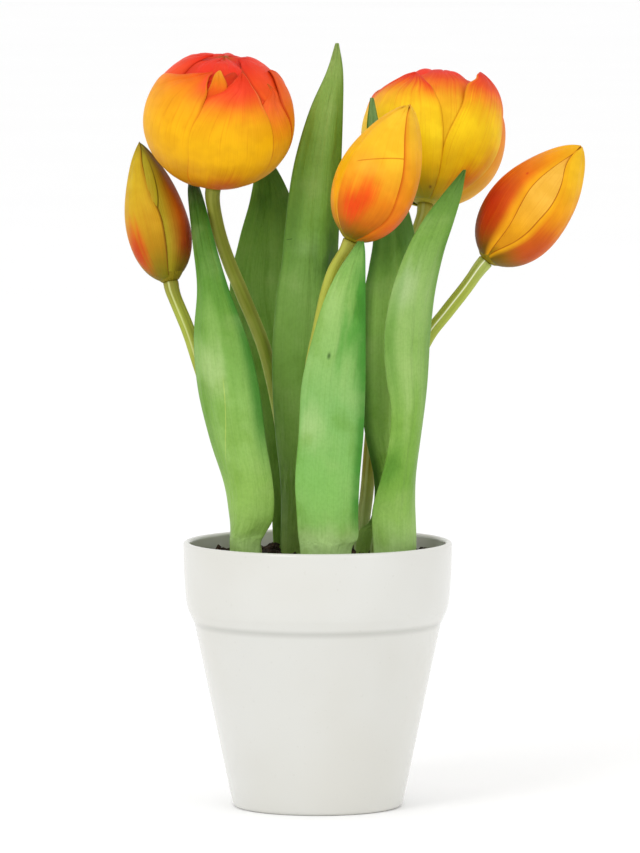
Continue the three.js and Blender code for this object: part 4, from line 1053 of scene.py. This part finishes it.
def add_object(name, data):
    """Puts a new object into the scene."""
    made = bpy.data.objects.new(name, data)
    bpy.context.scene.collection.objects.link(made)
    return made


def finish_piece(bm, name, materials, node):
    """Makes a mesh object of bm that rides on the plant and stands for a CAD node."""
    mesh = bpy.data.meshes.new(name)
    bm.to_mesh(mesh)
    bm.free()
    piece = add_object(name, mesh)
    for material in materials:
        mesh.materials.append(material)
    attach(piece, "root")
    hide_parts(node)
    return piece


def flesh_weights(bm, place, sheet):
    """Marks in vertex group 0 how thick a petal or leaf is: full in the middle, thin at the margin."""
    layer = bm.verts.layers.deform.active
    for vert, (u, v) in place.items():
        tip = max((u - sheet["tip_start"]) / (1 - sheet["tip_start"]), 0)
        vert[layer][0] = (1 - abs(v) ** sheet["margin_power"]) * (1 - tip * tip)


# ---------------------------------------------------------------- flowers


def profile_at(form, share, closing):
    """Radius and height of a flower's profile at a share of its way from base to top."""
    if form["kind"] == "bud":
        swell = math.sin(math.pi * share ** form["lowness"]) ** form["fullness"]
        return form["radius"] * swell, form["length"] * share
    sine, cosine = math.sin(math.pi * share), math.cos(math.pi * share)
    if cosine > 0:
        return form["radius"] * sine, form["below"] * (1 - cosine)
    return form["radius"] * (1 - closing * (1 - sine)), form["below"] - form["above"] * cosine


def profile_beside(form, share, distance, closing):
    """The same profile, set out of itself by a distance."""
    step, end = PROFILE["step"], PROFILE["end"]
    r, z = profile_at(form, share, closing)
    low_r, low_z = profile_at(form, max(share - step, end), closing)
    high_r, high_z = profile_at(form, min(share + step, 1 - end), closing)
    length = math.hypot(high_r - low_r, high_z - low_z)
    return r + distance * (high_z - low_z) / length, z - distance * (high_r - low_r) / length


def soft_step(value, low, high):
    """0 below low and 1 above high, with a smooth passage between."""
    t = min(max((value - low) / (high - low), 0), 1)
    return t * t * (3 - 2 * t)


def petal_relief(u, v):
    """Shallow ribs and a groove that deepens towards the tip; none at the margins."""
    fade = math.sin(math.pi * min(u * PETAL["rib_stretch"], 1)) * (1 - v ** 4)
    ribs = PETAL["rib_height"] * math.cos(PETAL["ribs"] * math.pi * v) * fade
    groove = PETAL["groove_depth"] * math.exp(-((v / PETAL["groove_width"]) ** 2))
    return ribs - groove * soft_step(u, *PETAL["groove_start"])


def flower_swell(share, bearing):
    """How far the whole flower swells out at a place; all its petals follow it."""
    around = Vector((math.cos(bearing), math.sin(bearing), 0)) * SWELL["around"]
    spot = around + Vector((0, 0, SWELL["along"] * share))
    return SWELL["height"] * noise.noise(spot) * math.sin(math.pi * share)


def edge_wander(form, share, bearing):
    """How far a bloom's petal edge strays from its smooth line, in degrees."""
    if form["kind"] == "bud":
        return 0
    stray = noise.noise(Vector((WANDER["along"] * share, WANDER["around"] * bearing, WANDER["seed"])))
    return WANDER["degrees"] * stray * soft_step(share, WANDER["start"], WANDER["full"])


def petal_surface(form, petal):
    """A petal on its flower's profile, with a rounded tip and its margins on their seats."""
    end_round = PETAL["end_round"][form["kind"]]
    rounding_start = petal["reach"][1] - end_round

    def surface(u, v):
        share = petal["reach"][0] + (petal["reach"][1] - petal["reach"][0]) * u
        left, right = smooth_at(petal["edges"], u)
        left += edge_wander(form, share, left)
        right += edge_wander(form, share, right)
        ending = max((share - rounding_start) / end_round, 0)
        rounding = max(math.sqrt(max(1 - ending * ending, 0)), PETAL["tip_share"])
        bearing = math.radians((left + right) / 2 + (right - left) / 2 * rounding * v)
        middle = petal["layer"] - PETAL["thickness"] / 2
        seat = petal["seat"][0 if v < 0 else 1]
        settled = v ** 4 * math.sin(math.pi * min(u * PETAL["seat_rise"], 0.5))
        out = middle + (seat - middle) * settled + petal_relief(u, v) + flower_swell(share, bearing)
        r, z = profile_beside(form, share, out, petal.get("closing", form.get("closing")))
        return r * math.sin(bearing), -r * math.cos(bearing), z
    return surface


def heart_surface(form):
    """The closed heart, from the middle of its foot to its top, with folds that turn as they rise."""
    kind = form["kind"]
    foot_share, top_share = HEART["foot_share"], HEART["top_share"][kind]

    def side(u, share, bearing):
        deep = HEART["foot_sink"]
        for sink, start, end in HEART["sinks"][kind]:
            deep += (sink - deep) * soft_step(share, start, end)
        turn = HEART["folds"] * bearing + HEART["fold_turn"] * u + math.sin(2 * bearing)
        depth = soft_step(u, *HEART["fold_start"]) * (1 - soft_step(u, *HEART["fold_end"]))
        fold = HEART["fold"][kind] * math.sin(turn) * depth
        r, z = profile_beside(form, share, fold - deep, form.get("closing"))
        return max(r, HEART["least_radius"]) * (1 - soft_step(u, HEART["closes_at"][kind], 1)), z

    def surface(u, v):
        bearing = math.pi * v
        row = round(u * HEART["rows"])
        if row < 2:
            r, z = row * HEART["foot_radius"], 0
        else:
            share = foot_share + (top_share - foot_share) * (row - 1) / (HEART["rows"] - 1)
            r, z = side(u, share, bearing)
        return r * math.sin(bearing), -r * math.cos(bearing), z
    return surface


def flower_place(key):
    """Turns a flower from its own frame, base at the origin and axis on +Z, to its place on its stem."""
    up = Vector(FLOWER_AXIS[key]).normalized()
    right = Vector((0, 1, 0)).cross(up).normalized()
    away = up.cross(right)
    turn = Matrix((right, away, up)).transposed().to_4x4()
    return Matrix.Translation(Vector(STEM_WAY[key][-1]) * MM) @ turn


def make_flower(key, skins):
    """A flower in one mesh: its petals, each in its own colours, and the heart between them."""
    form = FLOWER_FORM[key]
    names = sorted({petal["skin"] for petal in PETALS[key]})
    bm = new_mesh()
    for petal in PETALS[key]:
        surface = petal_surface(form, petal)
        index = names.index(petal["skin"]) + 1
        place = lay_grid(bm, surface, PETAL["rows"], PETAL["columns"], PETAL["crowding"], index)
        flesh_weights(bm, place, PETAL)
    heart = lay_grid(bm, heart_surface(form), HEART["rows"], HEART["columns"])
    bmesh.ops.remove_doubles(bm, verts=list(heart), dist=WELD)
    bmesh.ops.transform(bm, matrix=flower_place(key), verts=bm.verts)
    materials = [skins["heart_" + FLOWER_HEART[key]]] + [skins[name] for name in names]
    node = f"{form['kind']}_{key}"
    thicken(finish_piece(bm, node + "_petals", materials, node), PETAL)


def thicken(piece, sheet):
    """Gives a sheet its thickness, thin at the margins, and rounds it."""
    piece.vertex_groups.new(name="flesh")
    flesh = piece.modifiers.new("thickness", "SOLIDIFY")
    flesh.thickness = sheet["thickness"] * MM
    flesh.offset = 0
    flesh.vertex_group = "flesh"
    flesh.thickness_vertex_group = sheet["margin_share"]
    flesh.use_even_offset = False
    rounding = piece.modifiers.new("rounding", "SUBSURF")
    rounding.levels = 1
    rounding.render_levels = 1


# ---------------------------------------------------------------- stems


SPAN_STEPS = 24


def rod_path(points, samples):
    """Evenly spaced points on a smooth curve through the given ones (a centripetal spline)."""
    ends = [2 * points[0] - points[1]] + points + [2 * points[-1] - points[-2]]
    dense = []
    for i in range(1, len(ends) - 2):
        p0, p1, p2, p3 = ends[i - 1:i + 3]
        d0, d1, d2 = [max((b - a).length ** 0.5, 1e-4) for a, b in ((p0, p1), (p1, p2), (p2, p3))]
        t1 = ((p1 - p0) / d0 - (p2 - p0) / (d0 + d1) + (p2 - p1) / d1) * d1
        t2 = ((p2 - p1) / d1 - (p3 - p1) / (d1 + d2) + (p3 - p2) / d2) * d1
        dense += [hermite(p1, p2, t1, t2, step / SPAN_STEPS) for step in range(SPAN_STEPS)]
    dense.append(points[-1])
    lengths = [0.0]
    for a, b in zip(dense, dense[1:]):
        lengths.append(lengths[-1] + (b - a).length)
    path, j = [], 0
    for step in range(samples + 1):
        wanted = lengths[-1] * step / samples
        while j < len(dense) - 2 and lengths[j + 1] < wanted:
            j += 1
        share = (wanted - lengths[j]) / max(lengths[j + 1] - lengths[j], 1e-9)
        path.append(dense[j].lerp(dense[j + 1], share))
    return path


def rod_surface(path, radius_at):
    """A round rod along the path; its cross-section is carried along without twist."""
    ways = [(path[min(i + 1, len(path) - 1)] - path[max(i - 1, 0)]).normalized() for i in range(len(path))]
    side = Vector((1, 0, 0))
    sides = []
    for way in ways:
        side = (side - way * side.dot(way)).normalized()
        sides.append(side)

    def surface(u, v):
        i = round(u * (len(path) - 1))
        angle = math.pi * v
        out = math.sin(angle) * sides[i] - math.cos(angle) * ways[i].cross(sides[i])
        return path[i] + out * radius_at(u, v)
    return surface


def make_stem(key, skins):
    """A stem, straight up from its bulb, along its way points and square into its flower."""
    axis = Vector(FLOWER_AXIS[key]).normalized()
    bearing = math.radians(BULB_BEARING[key])
    foot = Vector((BULB["ring"] * math.cos(bearing), BULB["ring"] * math.sin(bearing), BULB["nose_level"]))
    way = [Vector(point) for point in STEM_WAY[key]]
    end = way[-1] - STEM["gap"] * axis
    upright = [foot + Vector((0, 0, rise)) for rise in (0, STEM["upright"] / 2, STEM["upright"])]
    path = rod_path(upright + way[:-1] + [end - STEM["neck"] * axis, end], STEM["rings"])

    def radius_at(u, v):
        collar = STEM["collar"] * soft_step(u, STEM["collar_start"], 1.0)
        ridge = STEM["ridge"] * math.cos(2 * STEM["ridges"] * math.pi * v)
        spot = Vector((STEM["uneven_waves"] * u, BULB_BEARING[key], 0))
        uneven = STEM["uneven"] * (noise.noise(spot) - 1)
        return STEM["radius"] + collar + ridge + uneven

    bm = new_mesh()
    place = lay_grid(bm, rod_surface(path, radius_at), STEM["rings"], STEM["around"])
    bmesh.ops.remove_doubles(bm, verts=list(place), dist=WELD)
    bmesh.ops.holes_fill(bm, edges=[edge for edge in bm.edges if edge.is_boundary], sides=0)
    bmesh.ops.recalc_face_normals(bm, faces=bm.faces)
    finish_piece(bm, f"stem_{key}_rod", [skins[f"stem_{key}"]], f"stem_{key}")


# ---------------------------------------------------------------- leaves


def leaf_surface(leaf, seed):
    """A leaf through its stations, bowed across, with a middle groove, ribs and rippled margins."""
    height, crests = leaf["wave"]
    uneven_across, uneven_along = LEAF["uneven_scale"]

    def relief(u, v):
        swell = math.sqrt(max(math.sin(math.pi * u), 0))
        swing = math.sin(2 * math.pi * crests * u + LEAF["wave_lag"] * v)
        ripple = height * swell * v * abs(v) * swing
        groove = LEAF["groove_depth"] * swell * math.exp(-((v / LEAF["groove_width"]) ** 2))
        ribs = LEAF["rib_height"] * math.cos(LEAF["ribs"] * math.pi * v)
        spot = Vector((uneven_across * v + LEAF["seed_step"] * seed, uneven_along * u, seed))
        return ripple - groove + ribs + LEAF["uneven"] * noise.noise(spot)

    def surface(u, v):
        z, left_x, left_y, right_x, right_y, bow = smooth_at(leaf["stations"], u)
        half = Vector(((right_x - left_x) / 2, (right_y - left_y) / 2, 0))
        out = Vector((half.y, -half.x, 0)).normalized()
        middle = Vector(((left_x + right_x) / 2, (left_y + right_y) / 2, z))
        return middle + half * v + out * (bow * (1 - v * v) + relief(u, v))
    return surface


def make_leaf(name, seed):
    """A leaf blade; seed sets its own unevenness."""
    bm = new_mesh()
    surface = leaf_surface(LEAVES[name], seed)
    place = lay_grid(bm, surface, LEAF["rows"], LEAF["columns"], LEAF["crowding"])
    flesh_weights(bm, place, LEAF)
    thicken(finish_piece(bm, name + "_blade", [leaf_skin(name)], name), LEAF)


# ---------------------------------------------------------------- pot and soil


def arc(centre_r, centre_z, radius, start, end, steps):
    """Points on an arc, from one angle to another in degrees, counted from outwards to up."""
    angles = [math.radians(start + (end - start) * i / steps) for i in range(steps + 1)]
    return [(centre_r + radius * math.cos(angle), centre_z + radius * math.sin(angle)) for angle in angles]


def smooth_run(points, steps):
    """A smooth open line through the points, with steps pieces between each two."""
    spans = len(points) - 1
    return [tuple(smooth_at(points, i / (spans * steps))) for i in range(spans * steps + 1)]


def pot_inside():
    """The profile of the pot's inner wall, from its floor to its lip."""
    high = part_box("pot")[1]
    foot = POT["base_radius"] - POT["wall"]
    lip = high.x / MM - POT["wall"]
    step = POT["inner_step"]
    return [
        *[(foot + out, POT["floor"] + up) for out, up in POT["inner_foot"]],
        (POT["body_top_radius"] - POT["wall"], POT["band_foot"] - step["below"]),
        (lip - step["inset"], POT["band_foot"] + step["above"]),
        (lip, high.z / MM - POT["lip_straight"]),
    ]


def make_pot(skins):
    """The pot, turned from one profile: foot, flared body, collar, rounded lip and inner wall."""
    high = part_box("pot")[1]
    lip_radius, height = high.x / MM, high.z / MM
    corner, lip = POT["corner_round"], POT["lip_round"]
    collar = [(POT["body_top_radius"] + out, POT["band_foot"] + up) for out, up in POT["collar"]]
    collar += [(lip_radius - POT["collar_draft"], POT["band_foot"] + POT["collar_full"])]
    profile = [(0, 0)]
    profile += arc(POT["base_radius"] - corner, corner, corner, -90, -10, POT["corner_steps"])
    profile += smooth_run(collar, POT["collar_steps"])
    profile += arc(lip_radius - lip, height - lip, lip, 0, 180, POT["lip_steps"])
    profile += reversed(pot_inside())
    profile += [(0, POT["floor"])]
    bm = bmesh.new()
    verts = [bm.verts.new((r * MM, 0, z * MM)) for r, z in profile]
    edges = [bm.edges.new(pair) for pair in zip(verts, verts[1:])]
    bmesh.ops.spin(bm, geom=verts + edges, cent=(0, 0, 0), axis=(0, 0, 1), dvec=(0, 0, 0),
                   angle=2 * math.pi, steps=POT["steps"], use_merge=True)
    bmesh.ops.remove_doubles(bm, verts=bm.verts, dist=WELD)
    bmesh.ops.recalc_face_normals(bm, faces=bm.faces)
    for face in bm.faces:
        face.smooth = True
    finish_piece(bm, "pot_body", [skins["glaze"]], "pot")


def soil_height(x, y):
    """The soil's slow waves, as in its solid."""
    coarse = math.sin(0.31 * x + 0.7) * math.cos(0.27 * y - 0.4)
    fine = math.sin(0.83 * x - 0.5 * y) * math.cos(0.61 * y + 0.35 * x)
    return SOIL["level"] + SOIL["bump"] * (coarse + SOIL["fine_share"] * fine)


def crumbly_height(x, y):
    """The soil's surface with its lumps."""
    scale = SOIL["lump_scale"]
    lumps = noise.fractal(Vector((scale * x, scale * y, 0)), *SOIL["lump_layers"])
    return soil_height(x, y) + SOIL["lump_height"] * lumps


def make_soil(skins):
    """The soil: a crumbly round top, let down along the inside of the pot to its floor."""
    inside = [(r - SOIL["gap"], z) for r, z in pot_inside()]
    radius = inside[-1][0]

    def surface(u, v):
        x, y = v, 2 * u - 1
        disc_x, disc_y = x * math.sqrt(1 - y * y / 2), y * math.sqrt(1 - x * x / 2)
        place_x, place_y = radius * disc_x, radius * disc_y
        return place_x, place_y, crumbly_height(place_x, place_y)

    bm = new_mesh()
    lay_grid(bm, surface, SOIL["cells"], SOIL["cells"])
    rim = [edge for edge in bm.edges if edge.is_boundary]
    for r, z in reversed(inside[:-1]):
        made = bmesh.ops.extrude_edge_only(bm, edges=rim)["geom"]
        rim = [item for item in made if isinstance(item, bmesh.types.BMEdge)]
        for vert in {vert for edge in rim for vert in edge.verts}:
            flat = Vector((vert.co.x, vert.co.y, 0)).normalized() * r * MM
            vert.co = Vector((flat.x, flat.y, z * MM))
    bmesh.ops.holes_fill(bm, edges=rim, sides=0)
    add_crumbs(bm, radius)
    bmesh.ops.recalc_face_normals(bm, faces=bm.faces)
    finish_piece(bm, "soil_bed", [skins["soil"]], "soil")


def add_crumbs(bm, radius):
    """Loose crumbs strewn on the soil: small uneven lumps that sit half sunk in its surface."""
    draw = random.Random(CRUMBS["seed"])
    for _ in range(CRUMBS["count"]):
        size = draw.uniform(*CRUMBS["size"])
        if draw.random() < CRUMBS["clod_share"]:
            size *= CRUMBS["clod_growth"]
        reach = (radius - CRUMBS["from_wall"]) * math.sqrt(draw.random())
        bearing = draw.uniform(0, 2 * math.pi)
        x, y = reach * math.cos(bearing), reach * math.sin(bearing)
        spot = Vector((x, y, crumbly_height(x, y) + CRUMBS["rise"] * size)) * MM
        squash = Matrix.Diagonal([draw.uniform(*span) for span in CRUMBS["squash"]] + [1])
        turn = Matrix.Rotation(draw.uniform(0, math.pi), 4, Vector((draw.random(), draw.random(), 1)))
        matrix = Matrix.Translation(spot) @ turn @ squash
        made = bmesh.ops.create_icosphere(bm, subdivisions=1, radius=size * MM, matrix=matrix)
        for vert in made["verts"]:
            shift = Vector([draw.uniform(-1, 1) for _ in range(3)])
            vert.co += shift * CRUMBS["uneven"] * size * MM


# ---------------------------------------------------------------- studio


# In metres and degrees. The focal length is to the sensor's height as focal is to frame_height.
CAMERA = {
    "place": (0.0009, -3.0, 0.398),
    "down": 4.733,
    "focal": 7673,
    "frame_height": 853,
    "sensor_height": 36,
    "clip_end": 100,
}

LIGHTS = {
    "key": {"place": (-1.1, -1.6, 1.7), "size": 1.0, "power": 12},
    "fill": {"place": (1.4, -1.5, 0.7), "size": 1.4, "power": 3},
}
LIGHT_AIM = (0, 0, 0.16)
FLOOR_HALF_WIDTH = 40


def make_camera():
    """The camera, in front of the pot and turned a little down."""
    data = bpy.data.cameras.new("camera")
    data.sensor_fit = "VERTICAL"
    data.sensor_height = CAMERA["sensor_height"]
    data.lens = data.sensor_height * CAMERA["focal"] / CAMERA["frame_height"]
    data.clip_end = CAMERA["clip_end"]
    camera = add_object("camera", data)
    camera.location = CAMERA["place"]
    camera.rotation_euler = (math.radians(90 - CAMERA["down"]), 0, 0)
    bpy.context.scene.camera = camera


def make_light(name, light):
    """A round soft light that faces the plant."""
    data = bpy.data.lights.new(name, "AREA")
    data.shape = "DISK"
    data.size = light["size"]
    data.energy = light["power"]
    lamp = add_object(name, data)
    lamp.location = light["place"]
    way = Vector(LIGHT_AIM) - Vector(light["place"])
    lamp.rotation_euler = way.to_track_quat("-Z", "Y").to_euler()


def make_floor():
    """A wide floor at the height of the pot's base."""
    bm = bmesh.new()
    bmesh.ops.create_grid(bm, x_segments=4, y_segments=4, size=FLOOR_HALF_WIDTH)
    mesh = bpy.data.meshes.new("studio_floor")
    bm.to_mesh(mesh)
    bm.free()
    mesh.materials.append(floor_skin())
    floor = add_object("studio_floor", mesh)


def make_studio():
    """A plain pale floor under soft white light."""
    make_floor()
    world = bpy.data.worlds.new("studio")
    bpy.context.scene.world = world
    world.use_nodes = True
    background = world.node_tree.nodes["Background"]
    background.inputs["Color"].default_value = (1, 1, 1, 1)
    background.inputs["Strength"].default_value = 1.0
    for name, light in LIGHTS.items():
        make_light(name, light)
    bpy.context.scene.view_settings.view_transform = "Standard"
    make_camera()


# ---------------------------------------------------------------- the plant


def make_plant():
    """Every piece of the plant and its pot, and a coat for the bulbs, which stay as solids."""
    skins = {name: petal_skin(name) for name in PETAL_LOOKS}
    skins.update({f"heart_{name}": heart_skin(name) for name in HEART_BELTS})
    skins.update({f"stem_{key}": stem_skin(key) for key in STEM_LOOKS})
    skins["glaze"] = glaze_skin()
    skins["soil"] = soil_skin()
    make_pot(skins)
    make_soil(skins)
    for key in PETALS:
        make_stem(key, skins)
        make_flower(key, skins)
    for seed, name in enumerate(LEAVES):
        make_leaf(name, seed + 1)
    tunic = tunic_skin()
    for key in BULB_BEARING:
        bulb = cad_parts[f"bulb_{key}"]
        bulb.data.materials.clear()
        bulb.data.materials.append(tunic)


make_plant()
make_studio()
